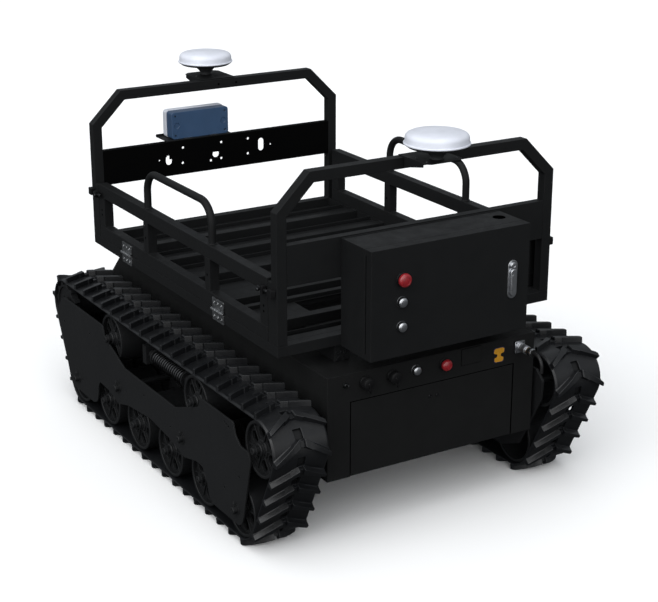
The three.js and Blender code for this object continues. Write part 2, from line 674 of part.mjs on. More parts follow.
function addRack() {
  addMesh('cargo_frame', cargoFrame(), FINISH.rackPaint);
  addMesh('front_hoop', hoop(-1), FINISH.rackPaint);
  addMesh('back_hoop', hoop(1), FINISH.rackPaint);
  addMesh('front_cross_plate', crossPlate(-RACK_Y + FIT_GAP, 1, []), FINISH.rackPaint);
  addMesh('back_cross_plate', crossPlate(RACK_Y - TUBE + FIT_GAP, 1, FAR_HOLES), FINISH.rackPaint);
  for (const [side, name] of [[-1, 'left'], [1, 'right']]) {
    addMesh(`side_gate_${name}`, gate(side), FINISH.rackPaint);
    addMesh(`gate_latch_${name}_front`, latch(side, -1), FINISH.steel);
    addMesh(`gate_latch_${name}_back`, latch(side, 1), FINISH.steel);
  }
}

// ---- control cabinet ----------------------------------------------------------------

const CABINET_WALL = 2.5;

function cabinetBox() {
  const hollow = box(-CABINET_X + CABINET_WALL, CABINET_X - CABINET_WALL, CABINET_SPLIT - 1,
    CABINET_BACK - CABINET_WALL, CABINET_BOTTOM + CABINET_WALL, CABINET_TOP - CABINET_WALL);
  return cut(
    box(-CABINET_X, CABINET_X, CABINET_SPLIT, CABINET_BACK, CABINET_BOTTOM, CABINET_TOP),
    hollow,
    rod('z', 212, -650, 18, CABINET_TOP - 10, CABINET_TOP + 1, 14),
  );
}

function cabinetDoor() {
  const back = CABINET_SPLIT - FIT_GAP;
  const pan = cut(
    box(-CABINET_X, CABINET_X, CABINET_FRONT, back, CABINET_BOTTOM, CABINET_TOP),
    box(-CABINET_X + CABINET_WALL, CABINET_X - CABINET_WALL, CABINET_FRONT + CABINET_WALL, back + 1,
      CABINET_BOTTOM + CABINET_WALL, CABINET_TOP - CABINET_WALL),
  );
  const controls = [[ESTOP_Z, 18], ...BUTTON_Z.map((z) => [z, 15])];
  const bezels = controls.map(([z, radius]) =>
    rod('y', CONTROL_X, z, radius, CABINET_FRONT - 3, CABINET_FRONT + 1, 14));
  const bores = controls.map(([z]) => rod('y', CONTROL_X, z, 9, CABINET_FRONT - 4, CABINET_FRONT + 4));
  const leverBase = extrude('y', slot(LEVER_X, LEVER_Z, 15, 38), CABINET_FRONT - 3, CABINET_FRONT + 1);
  return cut(join(pan, ...bezels, leverBase), ...bores);
}

function addCabinet() {
  addMesh('cabinet_box', cabinetBox(), FINISH.rackPaint);
  addMesh('cabinet_door', cabinetDoor(), FINISH.rackPaint);
  const leverOutline = slot(LEVER_X, LEVER_Z - 8, 10, 28);
  const lever = extrude('y', leverOutline, CABINET_FRONT - 10, CABINET_FRONT - 3 - FIT_GAP);
  addMesh('cabinet_lever', lever, FINISH.chrome);
  addMesh('cabinet_stop_button', stopButton(CONTROL_X, ESTOP_Z, CABINET_FRONT, 20), FINISH.red);
  BUTTON_Z.forEach((z, i) => {
    addMesh(`cabinet_push_button_${i + 1}`, pushButton(CONTROL_X, z, CABINET_FRONT, 13), FINISH.chrome);
  });
}

// ---- antennas and radio -------------------------------------------------------------

function antenna(end) {
  const seat = RACK_TOP + FIT_GAP;
  const plateTop = seat + SHEET;
  const y = end * ANTENNA_Y;
  const dome = turned('z', 0, y, [
    [0, plateTop - 1], [17, plateTop - 1], [17, plateTop + 4], [34, plateTop + 24], [74, plateTop + 31],
    [ANTENNA_RADIUS, plateTop + 40], [ANTENNA_RADIUS, plateTop + 46], [84, plateTop + 62],
    [62, plateTop + 70], [0, plateTop + 73],
  ], 20);
  const inner = end * (RACK_Y - TUBE + 4);
  const outer = end * (RACK_Y + 105);
  const face = end * (RACK_Y + FIT_GAP);
  return join(
    dome,
    extrude('z', [
      [-60, inner], [60, inner], [60, outer - end * 15],
      [45, outer], [-45, outer], [-60, outer - end * 15],
    ], seat, plateTop),
    box(-60, 60, face, face + end * SHEET, seat - 27, seat + 1),
  );
}

function radioBox() {
  const tray = PLATE_TOP + FIT_GAP;
  const near = RACK_Y - TUBE + 4;
  return join(
    box(-188, 45, near, near + 84, tray, tray + SHEET),
    box(-165, 37, near + 9, near + 72, tray + SHEET - 1, tray + 90),
  );
}

function addElectronics() {
  addMesh('front_antenna', antenna(-1), FINISH.radome);
  addMesh('back_antenna', antenna(1), FINISH.radome);
  addMesh('radio_box', radioBox(), FINISH.blue);
}

// ---- assembly -----------------------------------------------------------------------

addTrack(-1, 'left');
addTrack(1, 'right');
addHull();
addRack();
addCabinet();
addElectronics();
group.position.y = FORE_AFT_SHIFT;

export default group;
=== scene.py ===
import json
import math
import bmesh
import bpy
from mathutils import Matrix, Vector


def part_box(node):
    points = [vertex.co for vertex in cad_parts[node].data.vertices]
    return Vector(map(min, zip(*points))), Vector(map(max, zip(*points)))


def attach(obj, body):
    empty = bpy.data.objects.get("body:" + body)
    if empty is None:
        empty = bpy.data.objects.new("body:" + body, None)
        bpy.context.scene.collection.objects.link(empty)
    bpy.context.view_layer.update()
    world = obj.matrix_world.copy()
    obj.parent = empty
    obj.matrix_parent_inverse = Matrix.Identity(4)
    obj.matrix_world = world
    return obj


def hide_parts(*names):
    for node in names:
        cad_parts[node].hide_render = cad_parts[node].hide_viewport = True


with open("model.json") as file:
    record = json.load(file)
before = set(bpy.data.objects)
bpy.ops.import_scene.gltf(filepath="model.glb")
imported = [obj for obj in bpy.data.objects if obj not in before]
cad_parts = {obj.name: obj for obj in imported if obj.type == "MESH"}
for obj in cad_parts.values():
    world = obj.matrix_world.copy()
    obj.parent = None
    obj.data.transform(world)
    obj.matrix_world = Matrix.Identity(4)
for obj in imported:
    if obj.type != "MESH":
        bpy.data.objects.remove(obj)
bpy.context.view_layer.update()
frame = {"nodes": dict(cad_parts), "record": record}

# Tracked tank chassis: the visual model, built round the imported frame.
# Meshes are made in millimetres in the frame's axes and scaled to metres when they become
# pieces. The front (control cabinet) end faces -Y, and the camera looks at the -X side.

MM = 0.001
SIDES = ((-1, "left"), (1, "right"))


def box_mm(node):
    """The low and high corners of a CAD node's box, in millimetres."""
    low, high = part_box(node)
    return low / MM, high / MM


def middle_of(node):
    low, high = box_mm(node)
    return (low + high) / 2


RACK_LOW, RACK_HIGH = box_mm("cargo_frame")
MIDDLE_Y = (RACK_LOW.y + RACK_HIGH.y) / 2    # middle of the tracks and of the rack
DECK_TOP = box_mm("side_gate_left")[0].z - 0.4
TUBE = 30            # side of the rack's square tube
RACK_X = 440         # half the rack's width
RACK_Y = 592         # half its length
HULL_FRONT = MIDDLE_Y - 669
CABINET_FRONT = MIDDLE_Y - 738


# ---- camera, light and floor -----------------------------------------------------------

# place in millimetres, angles in degrees, lens in millimetres on a 36 mm sensor
CAMERA_PLACE = (-2264.9, MIDDLE_Y - 3864.1, 2004.8)
CAMERA_AZIMUTH = -31.168
CAMERA_ELEVATION = 19.361
CAMERA_ROLL = 0.029
LENS = 85.57


def add_camera():
    """The camera, at the place and angles from which the object is shown."""
    data = bpy.data.cameras.new("camera")
    data.sensor_width = 36
    data.lens = LENS
    camera = bpy.data.objects.new("camera", data)
    bpy.context.scene.collection.objects.link(camera)
    azimuth, elevation = math.radians(CAMERA_AZIMUTH), math.radians(CAMERA_ELEVATION)
    turn = (Matrix.Rotation(azimuth, 4, "Z") @ Matrix.Rotation(math.pi / 2 - elevation, 4, "X")
            @ Matrix.Rotation(math.radians(CAMERA_ROLL), 4, "Z"))
    camera.matrix_world = Matrix.Translation(Vector(CAMERA_PLACE) * MM) @ turn
    bpy.context.scene.camera = camera


def add_sun(name, towards, strength, spread):
    """A soft, even light that falls along a direction; its spread is in degrees."""
    data = bpy.data.lights.new(name, "SUN")
    data.energy = strength
    data.angle = math.radians(spread)
    light = bpy.data.objects.new(name, data)
    light.rotation_mode = "QUATERNION"
    light.rotation_quaternion = Vector(towards).to_track_quat("-Z", "Y")
    bpy.context.scene.collection.objects.link(light)


def add_studio():
    """A white backdrop, a dim room light, three soft suns and a pale floor."""
    world = bpy.data.worlds.new("studio")
    world.use_nodes = True
    tree = world.node_tree
    room = tree.nodes["Background"]
    room.inputs["Color"].default_value = (0.9, 0.95, 1.0, 1)
    direction = tree.nodes.new("ShaderNodeTexCoord")
    height = tree.nodes.new("ShaderNodeSeparateXYZ")
    tree.links.new(direction.outputs["Generated"], height.inputs[0])
    fade = tree.nodes.new("ShaderNodeMapRange")
    for name, value in (("From Min", -0.25), ("From Max", 0.35), ("To Min", 0.06), ("To Max", 0.42)):
        fade.inputs[name].default_value = value
    tree.links.new(height.outputs["Z"], fade.inputs["Value"])
    tree.links.new(fade.outputs["Result"], room.inputs["Strength"])
    backdrop = tree.nodes.new("ShaderNodeBackground")
    backdrop.inputs["Strength"].default_value = 1.05
    backdrop.inputs["Color"].default_value = (1, 1, 1, 1)
    either = tree.nodes.new("ShaderNodeMixShader")
    seen = tree.nodes.new("ShaderNodeLightPath")
    tree.links.new(seen.outputs["Is Camera Ray"], either.inputs[0])
    tree.links.new(room.outputs[0], either.inputs[1])
    tree.links.new(backdrop.outputs[0], either.inputs[2])
    tree.links.new(either.outputs[0], tree.nodes["World Output"].inputs["Surface"])
    bpy.context.scene.world = world
    bpy.context.scene.view_settings.view_transform = "Standard"
    add_sun("overhead", (0.4, 0.3, -1.0), 1.75, 70)
    add_sun("left", (1.0, 0.25, -0.35), 1.5, 60)
    add_sun("front", (0.1, 1.0, -0.3), 1.05, 60)
    mesh = bpy.data.meshes.new("floor")
    half = 40
    mesh.from_pydata([(-half, -half, 0), (half, -half, 0), (half, half, 0), (-half, half, 0)], [],
                     [(0, 1, 2, 3)])
    floor = bpy.data.objects.new("floor", mesh)
    floor.location.z = -0.0008
    bpy.context.scene.collection.objects.link(floor)
    material = bpy.data.materials.new("floor")
    material.use_nodes = True
    shader = material.node_tree.nodes["Principled BSDF"]
    shader.inputs["Base Color"].default_value = (0.98, 0.98, 0.98, 1)
    shader.inputs["Roughness"].default_value = 0.9
    shader.inputs["Specular IOR Level"].default_value = 0.0
    mesh.materials.append(material)
    floor.visible_diffuse = False
    floor.visible_glossy = False


# ---- materials -------------------------------------------------------------------------

class Nodes:
    """A short way to build one material's node tree."""

    def __init__(self, name):
        self.material = bpy.data.materials.new(name)
        self.material.use_nodes = True
        self.tree = self.material.node_tree
        self.shader = self.tree.nodes["Principled BSDF"]
        self.place = self.tree.nodes.new("ShaderNodeTexCoord").outputs["Object"]

    def link(self, out, socket):
        self.tree.links.new(out, socket)

    def noise(self, scale, detail=3.0, roughness=0.55):
        node = self.tree.nodes.new("ShaderNodeTexNoise")
        node.inputs["Scale"].default_value = scale
        node.inputs["Detail"].default_value = detail
        node.inputs["Roughness"].default_value = roughness
        self.link(self.place, node.inputs["Vector"])
        return node.outputs["Fac"]

    def cell_colour(self, scale):
        node = self.tree.nodes.new("ShaderNodeTexVoronoi")
        node.inputs["Scale"].default_value = scale
        self.link(self.place, node.inputs["Vector"])
        return node.outputs["Color"]

    def span(self, value, low, high, to_low=0.0, to_high=1.0):
        node = self.tree.nodes.new("ShaderNodeMapRange")
        node.inputs["From Min"].default_value = low
        node.inputs["From Max"].default_value = high
        node.inputs["To Min"].default_value = to_low
        node.inputs["To Max"].default_value = to_high
        self.link(value, node.inputs["Value"])
        return node.outputs["Result"]

    def maths(self, operation, first, second):
        node = self.tree.nodes.new("ShaderNodeMath")
        node.operation = operation
        node.use_clamp = True
        for value, socket in ((first, node.inputs[0]), (second, node.inputs[1])):
            if isinstance(value, (int, float)):
                socket.default_value = value
            else:
                self.link(value, socket)
        return node.outputs[0]

    def mix(self, share, first, second):
        node = self.tree.nodes.new("ShaderNodeMix")
        node.data_type = "RGBA"
        self.link(share, node.inputs["Factor"])
        for value, name in ((first, "A"), (second, "B")):
            socket = [s for s in node.inputs if s.name == name and s.type == "RGBA"][0]
            if isinstance(value, tuple):
                socket.default_value = (*value, 1)
            else:
                self.link(value, socket)
        return [s for s in node.outputs if s.type == "RGBA"][0]

    def edges(self, radius):
        """1 along sharp edges, 0 on flats."""
        bevel = self.tree.nodes.new("ShaderNodeBevel")
        bevel.samples = 4
        bevel.inputs["Radius"].default_value = radius
        geometry = self.tree.nodes.new("ShaderNodeNewGeometry")
        dot = self.tree.nodes.new("ShaderNodeVectorMath")
        dot.operation = "DOT_PRODUCT"
        self.link(bevel.outputs["Normal"], dot.inputs[0])
        self.link(geometry.outputs["Normal"], dot.inputs[1])
        return self.span(dot.outputs["Value"], 0.995, 0.86)

    def bump(self, *layers):
        """Each layer is (height, strength, distance)."""
        normal = None
        for height, strength, distance in layers:
            node = self.tree.nodes.new("ShaderNodeBump")
            node.inputs["Strength"].default_value = strength
            node.inputs["Distance"].default_value = distance
            self.link(height, node.inputs["Height"])
            if normal is not None:
                self.link(normal, node.inputs["Normal"])
            normal = node.outputs["Normal"]
        self.link(normal, self.shader.inputs["Normal"])

    def finish(self, colour, roughness, metallic=0.0, **others):
        for value, name in ((colour, "Base Color"), (roughness, "Roughness")):
            if hasattr(value, "is_linked"):
                self.link(value, self.shader.inputs[name])
            else:
                self.shader.inputs[name].default_value = (*value, 1) if name == "Base Color" else value
        self.shader.inputs["Metallic"].default_value = metallic
        for name, value in others.items():
            self.shader.inputs[name.replace("_", " ")].default_value = value
        return self.material


def powder_coat(name, colour, roughness, grain=0.22, wear=0.5, gloss=0.1):
    """Textured paint, dusty in patches and worn to a lighter tone along its edges."""
    n = Nodes(name)
    patches = n.span(n.noise(7, 3), 0.3, 0.75)
    worn = n.maths("MULTIPLY", n.edges(0.0012), n.span(n.noise(60, 4), 0.42, 0.68, 0.1, wear))
    dust = tuple(c * 1.08 for c in colour)
    bare = tuple(c * 2.0 + 0.012 for c in colour)
    base = n.mix(worn, n.mix(patches, colour, dust), bare)
    rough = n.span(n.noise(28, 3), 0.3, 0.7, roughness - 0.07, roughness + 0.07)
    n.bump((n.noise(420, 3, 0.7), grain, 0.0007), (n.noise(18, 1), 0.05, 0.002))
    return n.finish(base, rough, 0.0, Specular_IOR_Level=gloss)


def rubber(name):
    """Matt black rubber, scuffed lighter on its edges."""
    n = Nodes(name)
    colour, scuffed = (0.0042, 0.0046, 0.0054), (0.026, 0.028, 0.033)
    worn = n.maths("MULTIPLY", n.edges(0.0022), n.span(n.noise(45, 4), 0.35, 0.65, 0.15, 0.9))
    base = n.mix(worn, n.mix(n.span(n.noise(9, 5), 0.4, 0.72), colour, (0.0055, 0.006, 0.007)), scuffed)
    rough = n.span(n.noise(22, 4), 0.3, 0.7, 0.34, 0.5)
    n.bump((n.noise(260, 4, 0.7), 0.25, 0.0008), (n.noise(30, 2), 0.12, 0.002))
    return n.finish(base, rough, 0.0, Specular_IOR_Level=0.42)


def metal(name, colour, roughness, spread=0.1, grain=0.08, mottled=0.0, stain=0.28):
    """Bare or plated metal, with stains, or with the crystal pattern of zinc where it is mottled."""
    n = Nodes(name)
    darker = tuple(c * (1 - stain - mottled * 0.3) for c in colour)
    if mottled:
        share = n.span(n.cell_colour(190), 0.1, 0.9)
    else:
        share = n.span(n.noise(70, 4), 0.35, 0.7)
    base = n.mix(share, colour, darker)
    rough = n.span(n.noise(110, 3), 0.3, 0.7, roughness - spread, roughness + spread)
    n.bump((n.noise(500, 2), grain, 0.0004))
    return n.finish(base, rough, 1.0)


def plastic(name, colour, roughness, grain=0.06, coat=0.0, wear=0.3, gloss=0.5):
    """Moulded plastic with a fine grain and lightly rubbed edges."""
    n = Nodes(name)
    patches = n.span(n.noise(14, 4), 0.35, 0.7)
    shaded = tuple(c * 0.86 for c in colour)
    light = tuple(min(1, c * 1.15 + 0.02) for c in colour)
    worn = n.maths("MULTIPLY", n.edges(0.001), n.span(n.noise(80, 3), 0.4, 0.7, 0.0, wear))
    base = n.mix(worn, n.mix(patches, colour, shaded), light)
    rough = n.span(n.noise(40, 3), 0.3, 0.7, max(0.02, roughness - 0.05), roughness + 0.06)
    n.bump((n.noise(600, 2), grain, 0.0004))
    return n.finish(base, rough, 0.0, Coat_Weight=coat, Coat_Roughness=0.08, Specular_IOR_Level=gloss)


def make_materials():
    """Every material, by its short name; colours are linear."""
    return {
        "rack": powder_coat("rack_powder_coat", (0.0088, 0.0092, 0.0096), 0.5),
        # painted shade: the back cross plate's paint is the rack's paint made much darker for the shade it
        # sits in; its coarser grain is real
        "coarse_rack_shaded": powder_coat("coarse_rack_shaded_coat", (0.0016, 0.0016, 0.0017), 0.65, 0.4, 0.4, 0.02),
        "hull": powder_coat("hull_powder_coat", (0.0088, 0.009, 0.0091), 0.5),
        "plate": powder_coat("plate_powder_coat", (0.0125, 0.013, 0.0137), 0.5),
        "wheel": powder_coat("wheel_coat", (0.0098, 0.0102, 0.0108), 0.44, 0.16, 0.6, 0.16),
        "rubber": rubber("track_rubber"),
        "zinc": metal("zinc_plate", (0.44, 0.45, 0.46), 0.38, 0.1, 0.1, 1.0),
        "steel": metal("dark_steel", (0.12, 0.123, 0.128), 0.36),
        "black_steel": metal("blackened_steel", (0.042, 0.043, 0.045), 0.4),
        "chrome": metal("brushed_chrome", (0.56, 0.57, 0.59), 0.3, 0.03, 0.01, 0.0, 0.06),
        "red": plastic("stop_red", (0.26, 0.012, 0.017), 0.34, 0.03, 0.25),
        "radome": plastic("radome_white", (0.7, 0.725, 0.8), 0.4, 0.03, 0.0, 0.1),
        "neck": plastic("antenna_neck", (0.03, 0.031, 0.033), 0.5, gloss=0.3),
        "blue": plastic("radio_blue", (0.032, 0.072, 0.148), 0.42, 0.12, 0.1),
        "lid": plastic("radio_lid", (0.66, 0.69, 0.76), 0.38),
        "black": plastic("black_plastic", (0.006, 0.006, 0.0065), 0.42, gloss=0.16),
        "bore": plastic("bore_shadow", (0.0006, 0.0006, 0.0006), 0.9, wear=0.0, gloss=0.0),
        "yellow": plastic("marker_yellow", (0.5, 0.235, 0.012), 0.45),
        "navy": plastic("marker_navy", (0.014, 0.02, 0.06), 0.45),
        "brass": metal("brass", (0.5, 0.3, 0.09), 0.28),
        "battery": plastic("battery_case", (0.045, 0.075, 0.052), 0.5),
        "cable": plastic("cable_jacket", (0.006, 0.006, 0.0063), 0.45, 0.15, gloss=0.3),
    }


# ---- mesh making -----------------------------------------------------------------------

def spot(axis, u, v, along):
    """A point from its two coordinates across an axis, in order, and its place along it."""
    return {"x": Vector((along, u, v)), "y": Vector((u, along, v)), "z": Vector((u, v, along))}[axis]


def add_box(bm, x0, x1, y0, y1, z0, z1):
    corners = [bm.verts.new((x, y, z)) for z in (z0, z1) for x,
               y in ((x0, y0), (x1, y0), (x1, y1), (x0, y1))]
    faces = ((3, 2, 1, 0), (4, 5, 6, 7), (0, 1, 5, 4), (1, 2, 6, 5), (2, 3, 7, 6), (3, 0, 4, 7))
    return [bm.faces.new([corners[i] for i in face]) for face in faces]


def add_prism(bm, axis, outline, start, end):
    """A straight prism from an outline given across an axis."""
    rings = [[bm.verts.new(spot(axis, u, v, along)) for u, v in outline] for along in (start, end)]
    count = len(outline)
    for i in range(count):
        j = (i + 1) % count
        bm.faces.new((rings[0][i], rings[0][j], rings[1][j], rings[1][i]))
    bm.faces.new(rings[0])
    bm.faces.new(list(reversed(rings[1])))


def arc_points(u, v, radius, start, end, steps):
    """Points round an arc, with its angles in degrees."""
    angles = [math.radians(start + (end - start) * i / steps) for i in range(steps + 1)]
    return [(u + radius * math.cos(a), v + radius * math.sin(a)) for a in angles]


def circle_points(u, v, radius, steps=32):
    """A full circle's points."""
    return arc_points(u, v, radius, 0, 360, steps)[:-1]


def knurled_points(u, v, outer, inner, count):
    """A circle's outline with shallow grooves all round."""
    points = []
    for i in range(count):
        angle = 2 * math.pi * i / count
        radius = outer if i % 2 else inner
        points.append((u + radius * math.cos(angle), v + radius * math.sin(angle)))
    return points


def slot_points(u, v, radius, half, steps=10):
    """An upright slot with round ends; half is from its middle to an end's centre."""
    return arc_points(u, v + half, radius, 0, 180, steps) + arc_points(u, v - half, radius, 180, 360, steps)


def round_rectangle(u0, u1, v0, v1, radius, steps=5):
    """A rectangle with round corners."""
    return (arc_points(u1 - radius, v0 + radius, radius, -90, 0, steps)
            + arc_points(u1 - radius, v1 - radius, radius, 0, 90, steps)
            + arc_points(u0 + radius, v1 - radius, radius, 90, 180, steps)
            + arc_points(u0 + radius, v0 + radius, radius, 180, 270, steps))


def add_lathe(bm, axis, u, v, profile, segments=40, closed=False, base=0.0, towards=1):
    """Turns (radius, distance) points round an axis; a radius of 0 closes an end on it.

    Distances are measured along the axis from the base, backwards where towards is -1.
    """
    rings = []
    for radius, distance in profile:
        along = base + towards * distance
        if radius == 0:
            rings.append([bm.verts.new(spot(axis, u, v, along))])
        else:
            rings.append([bm.verts.new(spot(axis, a, b, along)) for a,
                          b in circle_points(u, v, radius, segments)])
    pairs = list(zip(rings, rings[1:]))
    if closed:
        pairs.append((rings[-1], rings[0]))
    for first, second in pairs:
        for i in range(segments):
            j = (i + 1) % segments
            if len(first) == 1 and len(second) == 1:
                continue
            if len(first) == 1:
                bm.faces.new((first[0], second[i], second[j]))
            elif len(second) == 1:
                bm.faces.new((first[i], first[j], second[0]))
            else:
                bm.faces.new((first[i], first[j], second[j], second[i]))


def add_rod(bm, axis, u, v, radius, start, end, segments):
    """A plain solid cylinder."""
    add_lathe(bm, axis, u, v, [(0, start), (radius, start), (radius, end), (0, end)], segments)


def add_ring(bm, axis, u, v, inner, outer, start, end, segments):
    """A plain ring with square ends."""
    profile = [(inner, start), (outer, start), (outer, end), (inner, end)]
    add_lathe(bm, axis, u, v, profile, segments, True)


def add_tube(bm, points, radius, sides=12, closed=False):
    """A tube along points, its section carried along without twisting."""
    points = [Vector(p) for p in points]
    count = len(points)
    tangents = []
    for i in range(count):
        before = points[i - 1] if i or closed else points[0]
        after = points[(i + 1) % count] if i < count - 1 or closed else points[-1]
        tangents.append((after - before).normalized())
    side = tangents[0].orthogonal().normalized()
    rings = []
    for point, tangent in zip(points, tangents):
        side = (side - tangent * side.dot(tangent)).normalized()
        other = tangent.cross(side)
        ring = []
        for i in range(sides):
            angle = 2 * math.pi * i / sides
            ring.append(bm.verts.new(point + (side * math.cos(angle) + other * math.sin(angle)) * radius))
        rings.append(ring)
    pairs = list(zip(rings, rings[1:])) + ([(rings[-1], rings[0])] if closed else [])
    for first, second in pairs:
        for i in range(sides):
            j = (i + 1) % sides
            bm.faces.new((first[i], first[j], second[j], second[i]))
    if not closed:
        bm.faces.new(list(reversed(rings[0])))
        bm.faces.new(rings[-1])


def add_hex_bolt(bm, axis, u, v, along, towards, radius=5.5, height=4):
    """A washer and a hexagon head standing on a face."""
    add_rod(bm, axis, u, v, radius * 1.5, along, along + towards * 1.2, 20)
    add_prism(bm, axis, circle_points(u, v, radius, 6), along + towards * 1.1,
              along + towards * (1.1 + height))


def add_dome_screw(bm, axis, u, v, along, towards, radius=4.0):
    """A button-head screw with a recessed drive."""
    height = radius * 0.55
    profile = [(0, along + towards * (height * 0.45)), (radius * 0.42, along + towards * (height * 0.45)),
               (radius * 0.46, along + towards * height), (radius * 0.75, along + towards * height * 0.86),
               (radius, along + towards * height * 0.3), (radius, along), (0, along)]
    add_lathe(bm, axis, u, v, profile, 20)


def add_weld(bm, start, end, radius=2.6):
    """A rippled bead along a straight joint."""
    start, end = Vector(start), Vector(end)
    length = (end - start).length
    steps = max(4, round(length / 2.2))
    tangent = (end - start).normalized()
    side = tangent.orthogonal().normalized()
    other = tangent.cross(side)
    rings = []
    for i in range(steps + 1):
        swell = 1 + 0.13 * math.sin(i * 2.1) + 0.05 * math.sin(i * 5.3)
        end_taper = min(1, 0.35 + 0.35 * min(i, steps - i))
        centre = start.lerp(end, i / steps)
        reach = radius * swell * end_taper
        rings.append([bm.verts.new(centre + (side * math.cos(a) + other * math.sin(a)) * reach)
                      for a in (2 * math.pi * k / 8 for k in range(8))])
    for first, second in zip(rings, rings[1:]):
        for i in range(8):
            bm.faces.new((first[i], first[(i + 1) % 8], second[(i + 1) % 8], second[i]))
    bm.faces.new(list(reversed(rings[0])))
    bm.faces.new(rings[-1])


def shade(bm, angle=32):
    """Smooth faces, with every edge sharper than the angle kept sharp."""
    bmesh.ops.recalc_face_normals(bm, faces=bm.faces)
    for face in bm.faces:
        face.smooth = True
    for edge in bm.edges:
        if len(edge.link_faces) == 2 and edge.calc_face_angle(0) > math.radians(angle):
            edge.smooth = False


def to_object(name, bm):
    """Turns a mesh made in millimetres into a piece in metres."""
    bm.transform(Matrix.Scale(MM, 4))
    mesh = bpy.data.meshes.new(name)
    bm.to_mesh(mesh)
    bm.free()
    piece = bpy.data.objects.new(name, mesh)
    bpy.context.scene.collection.objects.link(piece)
    return piece


def drill(piece, cutters):
    """Cuts closed meshes, given as one bmesh in millimetres, out of a piece."""
    bmesh.ops.recalc_face_normals(cutters, faces=cutters.faces)
    tool = to_object(piece.name + "_cutter", cutters)
    modifier = piece.modifiers.new("cut", "BOOLEAN")
    modifier.operation = "DIFFERENCE"
    modifier.solver = "EXACT"
    modifier.object = tool
    result = bpy.data.meshes.new_from_object(piece.evaluated_get(bpy.context.evaluated_depsgraph_get()))
    piece.modifiers.clear()
    piece.data = result
    bpy.data.objects.remove(tool)


def take_in(bm, piece):
    """Moves a piece's mesh, back in millimetres, into an unfinished one."""
    piece.data.transform(Matrix.Scale(1 / MM, 4))
    bm.from_mesh(piece.data)
    bpy.data.objects.remove(piece)


def settle(piece, material, body, replaces=(), bevel=0.0, segments=2, angle=32):
    """Gives a finished piece its shading, edge rounding, material and body, and hides the CAD parts it
    replaces.
    """
    bm = bmesh.new()
    bm.from_mesh(piece.data)
    shade(bm, angle)
    bm.to_mesh(piece.data)
    bm.free()
    if bevel:
        modifier = piece.modifiers.new("edges", "BEVEL")
        modifier.width = bevel * MM
        modifier.segments = segments
        modifier.limit_method = "ANGLE"
        modifier.angle_limit = math.radians(angle)
        modifier.use_clamp_overlap = False
        modifier.harden_normals = True
    piece.data.materials.clear()
    piece.data.materials.append(LOOKS[material])
    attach(piece, body)
    if replaces:
        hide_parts(*replaces)
    return piece


def make(name, bm, material, body, replaces=(), bevel=0.0, segments=2, angle=32):
    """A finished piece from a mesh made in millimetres."""
    bmesh.ops.recalc_face_normals(bm, faces=bm.faces)
    return settle(to_object(name, bm), material, body, replaces, bevel, segments, angle)


def refined(node):
    """A copy of a CAD node's solid with its flat faces merged, in millimetres."""
    bm = bmesh.new()
    bm.from_mesh(frame["nodes"][node].data)
    bmesh.ops.remove_doubles(bm, verts=bm.verts, dist=2e-6)
    bm.transform(Matrix.Scale(1 / MM, 4))
    bmesh.ops.dissolve_limit(bm, angle_limit=math.radians(0.6), verts=bm.verts, edges=bm.edges)
    return bm


def body_of(node):
    """The moving body that a CAD node belongs to."""
    for body, members in frame["record"]["behaviour"]["bodies"].items():
        if node in members:
            return body
    return "root"


# ---- data cable ------------------------------------------------------------------------

PLUG_X = 284
CONTROL_Z = 448    # the row of controls on the hull's front
PLUG_END = HULL_FRONT - 66
CABLE_RADIUS = 5
CABLE_ROUTE = [
    (PLUG_X, PLUG_END - 0.4, CONTROL_Z),
    (PLUG_X, PLUG_END - 3, CONTROL_Z),
    (PLUG_X, PLUG_END - 6, CONTROL_Z),
    (PLUG_X, PLUG_END - 11.2, CONTROL_Z - 0.5),
    (PLUG_X, PLUG_END - 16.3, CONTROL_Z - 1.8),
    (PLUG_X, PLUG_END - 21, CONTROL_Z - 4),
    (PLUG_X, PLUG_END - 25.3, CONTROL_Z - 7),
    (PLUG_X, PLUG_END - 29, CONTROL_Z - 10.7),
    (PLUG_X, PLUG_END - 32, CONTROL_Z - 15),
    (PLUG_X, PLUG_END - 34.2, CONTROL_Z - 19.7),
    (PLUG_X, PLUG_END - 35.5, CONTROL_Z - 24.8),
    (PLUG_X, PLUG_END - 36, CONTROL_Z - 30),
    (PLUG_X, PLUG_END - 36, CONTROL_Z - 35),
    (PLUG_X, PLUG_END - 36, CONTROL_Z - 40.5),
    (PLUG_X, PLUG_END - 36, CONTROL_Z - 46),
]


def smooth_route(points, per_span=5):
    """A uniform Catmull-Rom curve of tension 0.5 through the points."""
    points = [Vector(p) for p in points]
    points = [points[0] * 2 - points[1]] + points + [points[-1] * 2 - points[-2]]
    curve = []
    for a, b, c, d in zip(points, points[1:], points[2:], points[3:]):
        for i in range(per_span):
            t = i / per_span
            start, end = (c - a) / 2, (d - b) / 2
            curve.append(b * (2 * t**3 - 3 * t**2 + 1) + start * (t**3 - 2 * t**2 + t)
                         + c * (3 * t**2 - 2 * t**3) + end * (t**3 - t**2))
    return curve + [points[-2]]


def add_cable():
    """The short data cable, which hangs from its plug to a bare end."""
    route = [p * MM for p in smooth_route(CABLE_ROUTE, 3)]
    data = bpy.data.curves.new("data_cable_jacket", "CURVE")
    data.dimensions = "3D"
    spline = data.splines.new("POLY")
    spline.points.add(len(route) - 1)
    for point, place in zip(spline.points, route):
        point.co = (*place, 1)
    data.bevel_depth = CABLE_RADIUS * MM
    data.bevel_resolution = 5
    data.use_fill_caps = True
    spline.use_smooth = True
    cable = bpy.data.objects.new("data_cable_jacket", data)
    bpy.context.scene.collection.objects.link(cable)
    data.materials.append(LOOKS["cable"])
    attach(cable, "root")
    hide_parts("data_cable")


# ---- tracks ----------------------------------------------------------------------------

BELT_SLACK = 1
CARCASS = 8          # the belt's body between its lugs
LUG_TOP = 24         # height of the lugs over the belt's inner face
LUG_COUNT = 48
STEPS_PER_PITCH = 8


